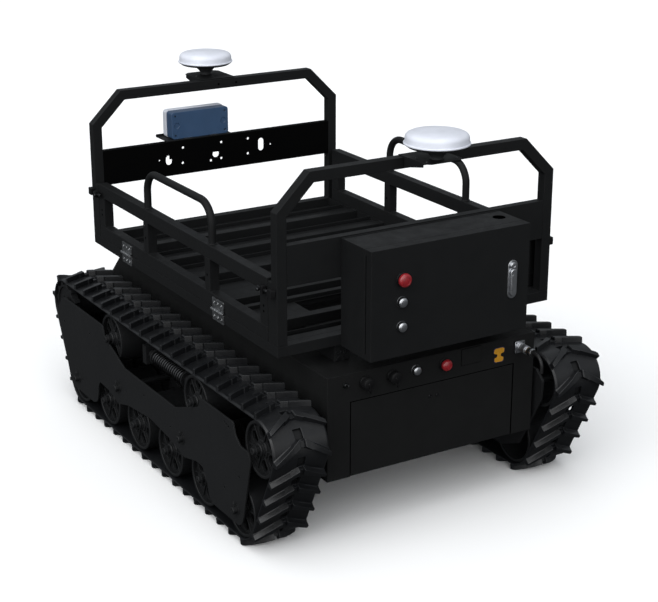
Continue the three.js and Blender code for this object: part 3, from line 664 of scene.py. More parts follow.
def belt_runs(name):
    """The belt's inner face as arcs round its four corner wheels and the straights between."""
    corners = []
    for node in (f"end_wheel_back_{name}", f"drive_sprocket_{name}", f"idler_wheel_{name}",
                 f"end_wheel_front_{name}"):
        low, high = box_mm(node)
        corners.append(((low.y + high.y) / 2, (low.z + high.z) / 2, (high.z - low.z) / 2 + BELT_SLACK))
    angles = []
    for i, (y, z, radius) in enumerate(corners):
        next_y, next_z, next_radius = corners[(i + 1) % 4]
        span = math.hypot(next_y - y, next_z - z)
        angles.append(math.atan2(next_z - z, next_y - y) - math.acos((radius - next_radius) / span))
    runs = []
    for i, (y, z, radius) in enumerate(corners):
        arrive = angles[i - 1]
        while arrive > angles[i]:
            arrive -= 2 * math.pi
        runs.append(("arc", (y, z, radius), arrive, angles[i], (angles[i] - arrive) * radius))
        next_y, next_z, next_radius = corners[(i + 1) % 4]
        c, s = math.cos(angles[i]), math.sin(angles[i])
        start, end = (y + radius * c, z + radius * s), (next_y + next_radius * c, next_z + next_radius * s)
        runs.append(("line", start, end, angles[i], math.dist(start, end)))
    return runs


def belt_point(runs, distance, height):
    """The (y, z) place a distance along the belt and a height over its inner face."""
    total = sum(run[-1] for run in runs)
    rest = distance % total
    for kind, first, second, third, length in runs:
        if rest <= length:
            break
        rest -= length
    share = rest / length
    if kind == "arc":
        angle = second + (third - second) * share
        return (first[0] + (first[2] + height) * math.cos(angle),
                first[1] + (first[2] + height) * math.sin(angle))
    return (first[0] + (second[0] - first[0]) * share + height * math.cos(third),
            first[1] + (second[1] - first[1]) * share + height * math.sin(third))


def add_belt(name):
    """One rubber belt: a flat carcass with drive windows, and chevron lugs on its outside."""
    low, high = box_mm(f"track_belt_{name}")
    runs = belt_runs(name)
    pitch = sum(run[-1] for run in runs) / LUG_COUNT
    centre = (low.x + high.x) / 2
    half = (high.x - low.x) / 2
    bm = bmesh.new()

    def at(across, distance, height):
        y, z = belt_point(runs, distance, height)
        return bm.verts.new((centre + across, y, z))

    # the carcass, with a window between the lugs in the middle of each pitch
    window = 12
    columns = [-half, -half + 5, -window, window, half - 5, half]
    heights = [CARCASS - 3, CARCASS, CARCASS, CARCASS, CARCASS, CARCASS - 3]
    rows = LUG_COUNT * STEPS_PER_PITCH
    inner, outer = [], []
    for row in range(rows):
        distance = (row / STEPS_PER_PITCH) * pitch
        inner.append([at(x, distance, 0.4 if abs(x) < half else 1.5) for x in columns])
        outer.append([at(x, distance, h) for x, h in zip(columns, heights)])
    for row in range(rows):
        following = (row + 1) % rows
        place = row % STEPS_PER_PITCH
        open_here = place in (3, 4, 5)
        for column in range(5):
            if column == 2 and open_here:
                continue
            a, b = column, column + 1
            bm.faces.new((outer[row][a], outer[row][b], outer[following][b], outer[following][a]))
            bm.faces.new((inner[row][b], inner[row][a], inner[following][a], inner[following][b]))
        bm.faces.new((inner[row][0], outer[row][0], outer[following][0], inner[following][0]))
        bm.faces.new((outer[row][5], inner[row][5], inner[following][5], outer[following][5]))
        if open_here:
            bm.faces.new((outer[row][2], inner[row][2], inner[following][2], outer[following][2]))
            bm.faces.new((inner[row][3], outer[row][3], outer[following][3], inner[following][3]))
        if place == 3:
            bm.faces.new((inner[row][2], outer[row][2], outer[row][3], inner[row][3]))
        if place == 6:
            bm.faces.new((outer[row][2], inner[row][2], inner[row][3], outer[row][3]))

    # chevron lugs: each half's ridge runs out and forward, with a low ramp behind it
    sections = [
        # out from the middle, half width of the top, height, base before, base behind
        (7, 8.0, 21.0, 3, 3),
        (9, 8.5, LUG_TOP, 3, 3),
        (26, 8.5, LUG_TOP, 3, 4),
        (30, 6.8, LUG_TOP, 1.5, 4),
        (54, 6.2, LUG_TOP - 0.2, 1.5, 5),
        (76, 5.4, LUG_TOP - 0.6, 1.5, 6),
        (half, 4.4, LUG_TOP - 1.6, 1.5, 6),
    ]
    ramp = 10.0
    lean = 0.5
    for lug in range(LUG_COUNT):
        for side in (-1, 1):
            rings = []
            for out, top, height, before, behind in sections:
                ridge = lug * pitch + lean * (out - 12) - 6
                base = CARCASS - 0.5 if out < half - 5 else CARCASS - 2.5
                x = side * out
                rings.append([at(x, ridge - top - behind, base), at(x, ridge - top - 2.5, ramp),
                              at(x, ridge - top, height), at(x, ridge + top, height),
                              at(x, ridge + top + before, base)])
            for first, second in zip(rings, rings[1:]):
                for i in range(5):
                    bm.faces.new((first[i], first[(i + 1) % 5], second[(i + 1) % 5], second[i]))
            bm.faces.new(rings[0])
            bm.faces.new(rings[-1])
        corners = [at(x, lug * pitch - 6 + s, h) for h in (CARCASS - 0.5, 15) for x, s in
                   ((-8, -7), (8, -7), (8, 7), (-8, 7))]
        for face in ((3, 2, 1, 0), (4, 5, 6, 7), (0, 1, 5, 4), (1, 2, 6, 5), (2, 3, 7, 6), (3, 0, 4, 7)):
            bm.faces.new([corners[i] for i in face])
    make(f"belt_tread_{name}", bm, "rubber", "root", [f"track_belt_{name}"], 1.1, 2, 26)


def add_wheel(node, side, spokes=6):
    """A drum wheel: rolled rim, spoked web with round windows, and a stepped hub."""
    low, high = box_mm(node)
    y, z = (low.y + high.y) / 2, (low.z + high.z) / 2
    radius = (high.z - low.z) / 2
    inside = min(abs(low.x), abs(high.x))
    outside = max(abs(low.x), abs(high.x)) - 4
    rim = 9
    face = outside - 12
    bm = bmesh.new()

    def ring(profile, segments=56):
        add_lathe(bm, "x", y, z, [(r, side * x) for r, x in profile], segments, True)

    ring([(radius - rim, inside), (radius - 1.5, inside), (radius, inside + 1.5), (radius, outside - 1.5),
          (radius - 1.5, outside), (radius - rim + 1.5, outside), (radius - rim, outside - 1.5),
          (radius - rim, face)])
    web_outer, web_inner = radius - rim + 0.5, 25
    hole = (web_outer - web_inner) * 0.36
    middle = (web_outer + web_inner) / 2
    web = bmesh.new()
    add_ring(web, "x", y, z, web_inner - 3, web_outer, side * (face - 8), side * face, 56)
    bmesh.ops.recalc_face_normals(web, faces=web.faces)
    web_piece = to_object(node + "_web", web)
    cutters = bmesh.new()
    for i in range(spokes):
        angle = 2 * math.pi * i / spokes + 0.4
        add_prism(cutters, "x",
                  circle_points(y + middle * math.cos(angle), z + middle * math.sin(angle), hole, 24),
                  side * (face - 12), side * (face + 4))
    drill(web_piece, cutters)
    take_in(bm, web_piece)
    for i in range(spokes):
        angle = 2 * math.pi * (i + 0.5) / spokes + 0.4
        c, s = math.cos(angle), math.sin(angle)
        points = []
        for r, t in ((web_inner - 2, -2.2), (web_outer, -2.2), (web_outer, 2.2), (web_inner - 2, 2.2)):
            points.append((y + r * c - t * s, z + r * s + t * c))
        add_prism(bm, "x", points, side * (face - 1), side * (face + 5))
    bore = 10.3
    ring([(bore, face - 10), (26, face - 10), (26, face + 3), (23, face + 5), (20.5, face + 5),
          (20.5, face + 8.5), (18, face + 8.5), (18, outside + 1), (15.5, outside + 3.6),
          (bore, outside + 3.6)], 40)
    body = body_of(node)
    make(node + "_cast", bm, "wheel", body, [node], 0.6, 2, 30)


def add_sprocket(node, side):
    """A twin-disc sprocket with lightening holes, on a bolted hub."""
    low, high = box_mm(node)
    y, z = (low.y + high.y) / 2, (low.z + high.z) / 2
    radius = (high.z - low.z) / 2
    inside, outside = 378, 528
    teeth = 12
    outline = []
    for i in range(teeth):
        start = 360 * i / teeth
        step = 360 / teeth
        for share, r in ((0.0, radius - 9), (0.1, radius - 2.5), (0.16, radius), (0.36, radius),
                         (0.42, radius - 2.5), (0.52, radius - 9), (0.76, radius - 11)):
            angle = math.radians(start + step * (share - 0.02))
            outline.append((y + r * math.cos(angle), z + r * math.sin(angle)))
    bm = bmesh.new()
    for first, second in ((outside - 22, outside), (inside, inside + 22)):
        add_prism(bm, "x", outline, side * first, side * second)
    piece = to_object(node + "_toothed", bm)
    cutters = bmesh.new()
    for i in range(6):
        angle = 2 * math.pi * i / 6 + 0.3
        add_prism(cutters, "x", circle_points(y + 46 * math.cos(angle), z + 46 * math.sin(angle), 12, 24),
                  side * (outside - 30), side * (outside + 5))
    add_rod(cutters, "x", y, z, 60, side * (outside - 5), side * (outside + 5), 48)
    drill(piece, cutters)
    bm = bmesh.new()
    take_in(bm, piece)
    add_rod(bm, "x", y, z, 44, side * (inside + 18), side * (outside - 20), 40)
    add_rod(bm, "x", y, z, 15, side * 328, side * (inside + 4), 32)
    add_lathe(bm, "x", y, z, [(0, -8), (24, -8), (24, -2), (16, 0), (0, 0)], base=side * outside,
              towards=side)
    for i in range(6):
        angle = 2 * math.pi * (i + 0.5) / 6 + 0.3
        add_hex_bolt(bm, "x", y + 34 * math.cos(angle), z + 34 * math.sin(angle), side * (outside - 5.2),
                     side, 3.2, 2)
    make(node + "_machined", bm, "wheel", body_of(node), [node], 0.7, 2, 30)


PLATE_HOLES = [(430, 290), (640, 268), (505, 110), (165, 190), (35, 225), (-140, 190), (-555, 205),
               (-470, 140), (-478, 335), (-490, 332), (-502, 329)]
PIN_PLACES = [(-540, 105), (-217.5, 186), (217.5, 186), (540, 105)]
PIN_END = 556


def add_side_plate(side, name):
    """The outer plate, and the bogie pins that end in it with their cotter pins."""
    node = f"track_side_plate_{name}"
    plate_in, plate_out = 535, 540
    bm = bmesh.new()
    add_prism(bm, "x", outline_rounded(outline_of_plate(), 9), side * plate_in, side * plate_out)
    bmesh.ops.recalc_face_normals(bm, faces=bm.faces)
    piece = to_object(f"side_plate_{name}", bm)
    cutters = bmesh.new()
    for y, z in PLATE_HOLES:
        add_prism(cutters, "x", circle_points(MIDDLE_Y + y, z, 3.4, 16), side * (plate_in - 5),
                  side * (plate_out + 5))
    drill(piece, cutters)
    settle(piece, "plate", "root", [node], 0.9, 2, 30)
    bm = bmesh.new()
    for y, z in PIN_PLACES:
        u = MIDDLE_Y + y
        add_lathe(bm, "x", u, z, [(0, side * 361), (10, side * 361), (10, side * (PIN_END - 1.5)),
                                  (8.5, side * PIN_END), (3.2, side * PIN_END),
                                  (2.6, side * (PIN_END - 4)), (0, side * (PIN_END - 5))], 32)
        add_ring(bm, "x", u, z, 9.8, 15.5, side * (plate_out - 0.5), side * (plate_out + 2), 32)
        x = side * (PIN_END - 8)
        add_tube(bm, [(x, u, z + 19), (x, u, z), (x, u, z - 13)], 1.6, 8)
        add_tube(bm, [(x, u, z + 15), (x + side * 1, u + 3, z + 19), (x, u + 6, z + 21), (x, u + 2, z + 23),
                      (x, u - 2, z + 20), (x, u - 1, z + 15)], 1.3, 6)
        add_tube(bm, [(x, u, z - 11), (x + side * 2, u + 4, z - 15), (x + side * 2, u + 9, z - 16)], 1.3, 6)
    make(f"plate_pins_{name}", bm, "wheel", "root", (), 0.4, 2, 30)


PLATE_OUTLINE = [
    (-404, 60), (-545, 60), (-566, 70), (-575, 92), (-620, 272), (-609, 297), (-563, 298), (-537, 320),
    (-526, 352), (-338, 352), (-322, 320), (-173, 264), (173, 264), (314, 318), (325, 352), (628, 352),
    (660, 338), (683, 300), (688, 256), (648, 182), (610, 80), (592, 63), (424, 63), (396, 74),
    (385, 98), (381, 130), (366, 152), (300, 148), (224, 130), (150, 150), (0, 166), (-150, 150),
    (-224, 130), (-300, 149), (-340, 148), (-366, 112), (-376, 74),
]


def outline_of_plate():
    """The outer plate's outline in the frame's (y, z)."""
    return [(MIDDLE_Y + y, z) for y, z in PLATE_OUTLINE]


def outline_rounded(outline, reach, steps=5):
    """The outline with each corner turned into a short curve."""
    points = []
    count = len(outline)
    for i in range(count):
        before, corner, after = (Vector(outline[(i + k) % count]) for k in (-1, 0, 1))
        first = corner + (before - corner).normalized() * min(reach, (before - corner).length * 0.45)
        last = corner + (after - corner).normalized() * min(reach, (after - corner).length * 0.45)
        for k in range(steps + 1):
            t = k / steps
            points.append(tuple(first * (1 - t) ** 2 + corner * 2 * t * (1 - t) + last * t**2))
    return points


AXLE_END = 546    # how far out the wheels' axles reach


def add_axle_end(bm, side, y, z):
    """An axle's chamfered, centre-drilled end with its retaining ring."""
    end = side * AXLE_END
    add_lathe(bm, "x", y, z, [(10.05, -13), (10.05, 3), (8.8, 4), (3, 4), (2.6, 0.5), (0, 0.2)], 32,
              base=end, towards=side)
    add_ring(bm, "x", y, z, 10.0, 14, end - side * 6, end - side * 4, 32)


def add_inner_frame(side, name):
    """The plate beside the hull, its bolts, and the ends of the axles that it carries."""
    node = f"track_inner_frame_{name}"
    make(f"inner_frame_{name}", refined(node), "plate", "root", [node], 0.8)
    bm = bmesh.new()
    for y, z in ((-648, 318), (-285, 321), (285, 321)):
        add_axle_end(bm, side, MIDDLE_Y + y, z)
    for y in (-520, -180, 180, 520):
        for dy, dz in ((-26, 220), (26, 220), (-26, 300), (26, 300)):
            add_hex_bolt(bm, "x", MIDDLE_Y + y + dy, dz, side * 360, side, 4.5, 2.4)
    make(f"frame_axle_ends_{name}", bm, "wheel", "root", (), 0.4, 2, 30)


def add_bogie(side, end, name):
    """A bogie arm with its two axle ends."""
    node = f"bogie_{end}_{name}"
    make(f"bogie_arm_{end}_{name}", refined(node), "plate", "root", [node], 0.8)
    bm = bmesh.new()
    y = middle_of(node).y
    for shift in (-108.5, 108.5):
        add_axle_end(bm, side, y + shift, 105)
    make(f"bogie_axle_ends_{end}_{name}", bm, "wheel", "root", (), 0.4, 2, 30)


def add_spring(side, name):
    """The tensioner: a coil spring over a damper with two collars."""
    node = f"track_spring_{name}"
    low, high = box_mm(node)
    x, z = (low.x + high.x) / 2, (low.z + high.z) / 2
    coil_radius, wire = 22, 4.0
    coil_half, turns = 98, 15
    bm = bmesh.new()
    steps = turns * 24
    points = []
    for i in range(steps + 1):
        share = i / steps
        angle = 2 * math.pi * turns * share
        y = MIDDLE_Y - coil_half + wire + 2 * (coil_half - wire) * share
        points.append((x + coil_radius * math.cos(angle), y, z + coil_radius * math.sin(angle)))
    add_tube(bm, points, wire, 8)
    make(f"coil_{name}", bm, "black_steel", "root", (), 0, 2, 50)
    bm = bmesh.new()
    end = 137
    add_lathe(bm, "y", x, z, [(0, MIDDLE_Y - end), (13, MIDDLE_Y - end), (13, MIDDLE_Y - 104),
                              (25, MIDDLE_Y - 104), (25, MIDDLE_Y - coil_half),
                              (15, MIDDLE_Y - coil_half), (15, MIDDLE_Y + 20), (9, MIDDLE_Y + 22),
                              (9, MIDDLE_Y + coil_half), (25, MIDDLE_Y + coil_half), (25, MIDDLE_Y + 104),
                              (13, MIDDLE_Y + 104), (13, MIDDLE_Y + end), (0, MIDDLE_Y + end)], 40)
    make(f"damper_{name}", bm, "plate", "root", [node], 0.7, 2, 30)


def add_tracks():
    for side, name in SIDES:
        add_belt(name)
        add_sprocket(f"drive_sprocket_{name}", side)
        wheels = [f"idler_wheel_{name}", f"end_wheel_front_{name}", f"end_wheel_back_{name}",
                  f"return_roller_front_{name}", f"return_roller_back_{name}"]
        for node in wheels + [f"road_wheel_{i}_{name}" for i in (1, 2, 3, 4)]:
            add_wheel(node, side)
        add_side_plate(side, name)
        add_inner_frame(side, name)
        for end in ("front", "back"):
            add_bogie(side, end, name)
        add_spring(side, name)


# ---- hull ------------------------------------------------------------------------------

SOCKET_X = (-222, -137)
STOP_X = 30
BUTTON_X = -61


def add_hull_shell():
    """The hull, its access panel and the seams along its top."""
    make("hull_body", refined("hull_shell"), "hull", "root", ["hull_shell"], 0.9)
    make("access_panel", refined("access_door"), "hull", "access_door", ["access_door"], 0.7)
    bm = bmesh.new()
    seam_z = 479.2
    for x in (-336.2, 336.2):
        add_weld(bm, (x, HULL_FRONT + 4, seam_z), (x, MIDDLE_Y + 606, seam_z), 1.6)
    make("hull_seams", bm, "hull", "root")


def add_door_gap():
    """Painted shade: near-black strips standing for the shade in the gap round the access door's two sides
    and top.
    """
    bm = bmesh.new()
    edge, top, low = 265.2, 399, 187
    y0, y1 = HULL_FRONT - 0.12, HULL_FRONT + 1
    for side in (-1, 1):
        x0, x1 = sorted((side * edge, side * (edge + 2.6)))
        add_box(bm, x0, x1, y0, y1, low, top)
    add_box(bm, -edge - 2.6, edge + 2.6, y0, y1, top, top + 2.2)
    make("access_gap_shade", bm, "bore", "root")


def add_locks():
    """Two quarter-turn locks near the access door's top edge."""
    bm = bmesh.new()
    for x, z in ((-13, 363), (10, 361)):
        add_lathe(bm, "y", x, z, [(0, -0.5), (5.2, -0.5), (5.2, 1.2), (4.8, 1.8), (3.2, 1.8), (3.0, 0.2),
                                  (0, 0.2)], 28, base=HULL_FRONT, towards=-1)
        add_box(bm, x - 0.8, x + 0.8, HULL_FRONT - 1.4, HULL_FRONT, z - 3, z + 3)
    make("access_locks", bm, "black_steel", "access_door", (), 0.2)


def add_capped_sockets():
    """Two round sockets with knurled caps, each on its strap."""
    bm = bmesh.new()
    caps = bmesh.new()
    for x in SOCKET_X:
        z = CONTROL_Z
        add_lathe(bm, "y", x, z, [(0, 0.2), (17.5, 0.2), (17.5, 3.2), (15.2, 3.8), (15.2, 22), (0, 22)],
                  36, base=HULL_FRONT, towards=-1)
        knurl = knurled_points(x, z, 17.2, 16.3, 72)
        add_prism(caps, "y", knurl, HULL_FRONT - 7, HULL_FRONT - 20)
        add_lathe(caps, "y", x, z, [(0, 19.5), (15.6, 19.5), (15.6, 22.4), (13.5, 23.6), (4.5, 23.6),
                                    (3.6, 25.4), (0, 25.8)], 36, base=HULL_FRONT, towards=-1)
        # the strap that keeps the cap on its socket
        loop = [(x + 16.6 * math.sin(a), HULL_FRONT - 5.2, z + 16.6 * math.cos(a)) for a in
                (2 * math.pi * i / 32 for i in range(32))]
        add_tube(caps, loop, 1.4, 8, True)
        strap = smooth_route([(x + 6, HULL_FRONT - 6, z - 15.5), (x + 9, HULL_FRONT - 8, z - 24),
                              (x + 8, HULL_FRONT - 15, z - 29), (x + 5, HULL_FRONT - 22, z - 26),
                              (x + 2, HULL_FRONT - 25.2, z - 14), (x, HULL_FRONT - 25.4, z - 2)], 5)
        add_tube(caps, strap, 1.3, 8)
    make("socket_bodies", bm, "black_steel", "root", (), 0.3)
    make("socket_caps", caps, "black", "root", (), 0.3)


def add_toggle():
    """A small toggle switch on a hexagon nut."""
    x, z = -284, 452
    bm = bmesh.new()
    add_prism(bm, "y", circle_points(x, z, 8.6, 6), HULL_FRONT + 0.2, HULL_FRONT - 3.4)
    add_lathe(bm, "y", x, z, [(0, 3), (6, 3), (6, 8), (4.4, 9), (0, 9)], 28, base=HULL_FRONT, towards=-1)
    add_tube(bm, [(x, HULL_FRONT - 8, z), (x, HULL_FRONT - 13, z + 2), (x, HULL_FRONT - 19, z + 5)], 2.5,
             12)
    make("toggle_switch", bm, "black_steel", "root", (), 0.3)


def add_display():
    """A small display: a joint round it, a frame, and a dark window."""
    bm = bmesh.new()
    add_prism(bm, "y", round_rectangle(86.6, 153.4, 428.6, 477.4, 3.5), HULL_FRONT + 0.2, HULL_FRONT - 0.3)
    make("display_joint", bm, "bore", "root")
    bm = bmesh.new()
    frame_outline = round_rectangle(88, 152, 430, 476, 3)
    add_prism(bm, "y", frame_outline, HULL_FRONT + 0.2, HULL_FRONT - 1.6)
    make("display_frame", bm, "hull", "root", (), 0.4)
    bm = bmesh.new()
    add_prism(bm, "y", round_rectangle(93, 147, 435, 471, 2), HULL_FRONT - 1.2, HULL_FRONT - 2.0)
    make("display_window", bm, "hull", "root", (), 0.2)


def add_marker():
    """A plain yellow marker of two joined shields on a dark edge; it carries no lettering."""
    x, z = 215, 436
    top, low = z + 20, z - 20
    outline = [(x - 17, top - 14), (x - 17, top - 3), (x - 12, top), (x + 12, top), (x + 17, top - 3),
               (x + 17, top - 14), (x + 6, top - 17), (x + 6, low + 15), (x + 15, low + 12),
               (x + 15, low + 3), (x + 11, low), (x - 11, low), (x - 15, low + 3), (x - 15, low + 12),
               (x - 6, low + 15), (x - 6, top - 17)]
    centre = Vector((x, (top + low) / 2))
    back = [tuple(centre + (Vector(p) - centre) * 1.1) for p in outline]
    bm = bmesh.new()
    add_prism(bm, "y", outline_rounded(back, 2, 3), HULL_FRONT + 0.2, HULL_FRONT - 0.5)
    make("marker_edge", bm, "navy", "root")
    bm = bmesh.new()
    add_prism(bm, "y", outline_rounded(outline, 2, 3), HULL_FRONT - 0.3, HULL_FRONT - 0.9)
    make("marker_face", bm, "yellow", "root", (), 0.15)


def add_plug():
    """The round plug on its square flange, from the hull to the cable."""
    x, z = PLUG_X, CONTROL_Z
    front = HULL_FRONT
    bm = bmesh.new()
    add_prism(bm, "y", round_rectangle(x - 17, x + 17, z - 17, z + 17, 3.5), front + 0.2, front - 4.4)
    add_lathe(bm, "y", x, z, [(0, 4), (12.6, 4), (12.6, 12), (11.6, 13), (11.6, 19), (0, 19)], base=front,
              towards=-1)
    ribs = knurled_points(x, z, 12.4, 11.7, 80)
    add_prism(bm, "y", ribs, front - 20, front - 35)
    add_lathe(bm, "y", x, z, [(0, 18), (10.9, 18), (10.9, 37), (11.6, 38), (11.6, 41), (10.2, 42),
                              (10.2, 56), (11.3, 57), (11.3, 62), (9.5, 65), (6.2, 65.8), (0, 65.8)],
              base=front, towards=-1)
    make("plug_shell", bm, "chrome", "root", (), 0.3)
    bm = bmesh.new()
    for dx in (-12.3, 12.3):
        for dz in (-12.3, 12.3):
            add_dome_screw(bm, "y", x + dx, z + dz, front - 4.3, -1, 3.0)
    make("flange_screws", bm, "steel", "root")
    bm = bmesh.new()
    add_ring(bm, "y", x, z, 10.4, 10.8, front - 43.5, front - 46, 40)
    make("plug_ring", bm, "brass", "root")


def add_stop_button(node, x, z, face, radius):
    """A mushroom cap with a raised ring, on a ribbed stem above its collar."""
    bm = bmesh.new()
    r = radius
    add_lathe(bm, "y", x, z, [(0, -11), (7.6, -11), (7.6, 7.6), (r - 4, 8.4), (r - 1.6, 9.2),
                              (r - 0.4, 10.8), (r, 13), (r - 0.2, 16.6), (r - 1.4, 19.4), (r - 3.6, 21.4),
                              (r - 6, 22.6), (r - 7.2, 22.2), (r - 8, 22.4), (r * 0.3, 23.6), (0, 23.8)],
              56, base=face, towards=-1)
    make(node + "_cap", bm, "red", body_of(node), [node], 0, 2, 40)
    bm = bmesh.new()
    add_lathe(bm, "y", x, z, [(r * 0.62, 22.2), (r * 0.62, 23.3), (r * 0.55, 23.7), (r * 0.52, 22.4)], 48,
              True, base=face, towards=-1)
    make(node + "_ring", bm, "red", body_of(node), (), 0, 2, 40)


def add_push_button(node, x, z, face, radius):
    """A domed metal button on a plain stem."""
    bm = bmesh.new()
    add_lathe(bm, "y", x, z, [(0, -11), (6.7, -11), (6.7, 5.8), (radius - 0.6, 5.8), (radius, 6.4),
                              (radius, 8.6), (radius - 0.8, 9.8), (radius - 2.4, 10.8),
                              (radius * 0.45, 11.7), (0, 11.9)], 52, base=face, towards=-1)
    make(node + "_cap", bm, "chrome", body_of(node), [node], 0, 2, 40)


def add_collar(name, x, z, face, radius, material, body, rise=3.6):
    """The fixed ring round a button; rise is how far it stands off the face."""
    bore = 9.2
    bm = bmesh.new()
    add_lathe(bm, "y", x, z, [(bore, face + 1), (bore, face - rise), (radius - 3.4, face - rise),
                              (radius - 1.2, face - rise + 0.4), (radius, face - rise + 1.4),
                              (radius + 0.2, face + 0.2), (radius - 1, face + 1)], 52, True)
    make(name, bm, material, body, (), 0, 2, 36)


def add_inside():
    """The battery pack and drive motors, seen when the access door is open."""
    low, high = box_mm("battery_pack")
    bm = bmesh.new()
    add_box(bm, low.x + 0.5, high.x - 0.5, low.y + 0.5, high.y - 0.5, low.z + 0.2, high.z - 14)
    add_box(bm, low.x + 6, high.x - 6, low.y + 6, high.y - 6, high.z - 14.2, high.z - 4)
    for i in range(9):
        x = low.x + 40 + i * (high.x - low.x - 80) / 8
        add_box(bm, x - 7, x + 7, low.y - 0.2, low.y + 1, low.z + 25, high.z - 40)
    make("battery_case", bm, "battery", "root", ["battery_pack"], 3, 3)
    bm = bmesh.new()
    for x in (-150, 150):
        add_rod(bm, "z", x, low.y + 45, 9, high.z - 5, high.z - 0.5, 28)
    make("battery_terminals", bm, "brass", "root", (), 0.6)
    for side, name in SIDES:
        node = f"drive_motor_{name}"
        low, high = box_mm(node)
        y, z = (low.y + high.y) / 2, (low.z + high.z) / 2
        inner, outer = side * 70, side * 325
        radius = (high.z - low.z) / 2
        bm = bmesh.new()
        profile = [(0, inner), (radius - 8, inner), (radius - 4, inner + side * 3),
                   (radius - 4, inner + side * 30)]
        for i in range(9):
            start = inner + side * (34 + i * 12)
            profile += [(radius - 7, start), (radius - 2, start + side * 1),
                        (radius - 2, start + side * 6), (radius - 7, start + side * 7)]
        profile += [(radius - 7, outer - side * 92), (radius, outer - side * 90),
                    (radius, outer - side * 12), (radius - 3, outer - side * 8), (26, outer - side * 8),
                    (26, outer), (0, outer)]
        add_lathe(bm, "x", y, z, profile, 48)
        make(f"gear_motor_{name}", bm, "steel", "root", [node], 0.5)


def add_hull():
    add_hull_shell()
    add_door_gap()
    add_locks()
    add_capped_sockets()
    add_toggle()
    add_display()
    add_marker()
    add_plug()
    add_stop_button("hull_stop_button", STOP_X, CONTROL_Z, HULL_FRONT, 16)
    add_push_button("hull_push_button", BUTTON_X, CONTROL_Z, HULL_FRONT, 12)
    add_collar("hull_stop_collar", STOP_X, CONTROL_Z, HULL_FRONT, 15.5, "black", "root")
    add_collar("hull_button_collar", BUTTON_X, CONTROL_Z, HULL_FRONT, 15.5, "steel", "root", 2.2)
    add_inside()


# ---- cargo rack ------------------------------------------------------------------------

HINGE_Y = (-267, 335)
HINGE_X = 446
HINGE_Z = DECK_TOP
GATE_Y = 541
GATE_TOP = 736
LATCH_Z = 705
SLATS = [(470, 379), (302, 213), (145, 24), (-34, -205), (-257, -423), (-500, -562)]
CUTOUT_X = 210
RAIL_X = 237         # mounting rails under the deck
RAIL_END = 578
GATE_POSTS = (-200, 200)
HINGE_HALF = 32.6
HOOP_BORE_Z = 999


def add_cargo_frame():
    """The square-tube rim, its cross slats and the two rails under them."""
    bm = bmesh.new()
    bottom = DECK_TOP - TUBE
    inside = RACK_X - TUBE
    sheet = DECK_TOP - 12
    for side in (-1, 1):
        x0, x1 = sorted((side * inside, side * RACK_X))
        add_box(bm, x0, x1, MIDDLE_Y - RACK_Y, MIDDLE_Y + RACK_Y, bottom, DECK_TOP)
        y0, y1 = sorted((side * (RACK_Y - TUBE), side * RACK_Y))
        add_box(bm, -inside, inside, MIDDLE_Y + y0, MIDDLE_Y + y1, bottom, DECK_TOP)
        rail = side * RAIL_X
        add_box(bm, rail - 22.5, rail + 22.5, MIDDLE_Y - RAIL_END, MIDDLE_Y + RAIL_END,
                bottom - 51.6, bottom + 0.5)
    for back, front in SLATS:
        back, front = MIDDLE_Y + back, MIDDLE_Y + front
        add_box(bm, -inside, inside, front, front + TUBE, bottom, DECK_TOP)
        if (back - front) > 165 and front < MIDDLE_Y - 400:
            low_y, high_y = front + TUBE + 4, back - 22
            add_box(bm, -inside, inside, high_y, back - 19, sheet - 3, sheet)
            add_box(bm, -inside, inside, front + TUBE, low_y, sheet - 3, sheet)
            for x0, x1 in ((-inside, -CUTOUT_X), (CUTOUT_X, inside)):
                add_box(bm, x0, x1, low_y, high_y, sheet - 3, sheet)
            add_box(bm, -inside, inside, back - 20, back, bottom, DECK_TOP)
        else:
            add_box(bm, -inside, inside, front + TUBE, back, sheet - 3, sheet)
            add_box(bm, -inside, inside, back - 3, back, sheet, DECK_TOP)
    ledge = MIDDLE_Y + RACK_Y - TUBE
    add_box(bm, -inside, inside, ledge - 25, ledge, bottom, bottom + 3)
    make("cargo_base", bm, "rack", "root", ["cargo_frame"], 1.1)
    bm = bmesh.new()
    for back, front in SLATS:
        for side in (-1, 1):
            x = side * (inside - 0.4)
            start = MIDDLE_Y + front
            add_weld(bm, (x, start + 1, DECK_TOP - 0.3), (x, start + TUBE - 1, DECK_TOP - 0.3), 2.0)
            add_weld(bm, (x, start + TUBE + 6, sheet + 0.6), (x, MIDDLE_Y + back - 8, sheet + 0.6), 1.8)
    make("deck_welds", bm, "rack", "root")


def add_rail_slots():
    """Slotted mounting rails under the rack: each rail's end shows its grooves and bores."""
    bm = bmesh.new()
    for x in (-RAIL_X, RAIL_X):
        for end in (-1, 1):
            y = MIDDLE_Y + end * RAIL_END
            z0, z1 = 481, 532
            out = y + end * 1.6
            add_prism(bm, "y", [(x - 20, z0 + 2), (x - 6, z0 + 2), (x - 3, z0 + 12), (x - 8, z0 + 15),
                                (x - 20, z0 + 6)], y, out)
            add_prism(bm, "y", [(x + 20, z0 + 2), (x + 6, z0 + 2), (x + 3, z0 + 12), (x + 8, z0 + 15),
                                (x + 20, z0 + 6)], y, out)
            for dx, dz in ((-15, 24), (15, 24), (0, 24)):
                add_ring(bm, "y", x + dx, z0 + dz, 3.4, 6, y, out, 24)
    make("rail_end_details", bm, "black_steel", "root", (), 0.3)


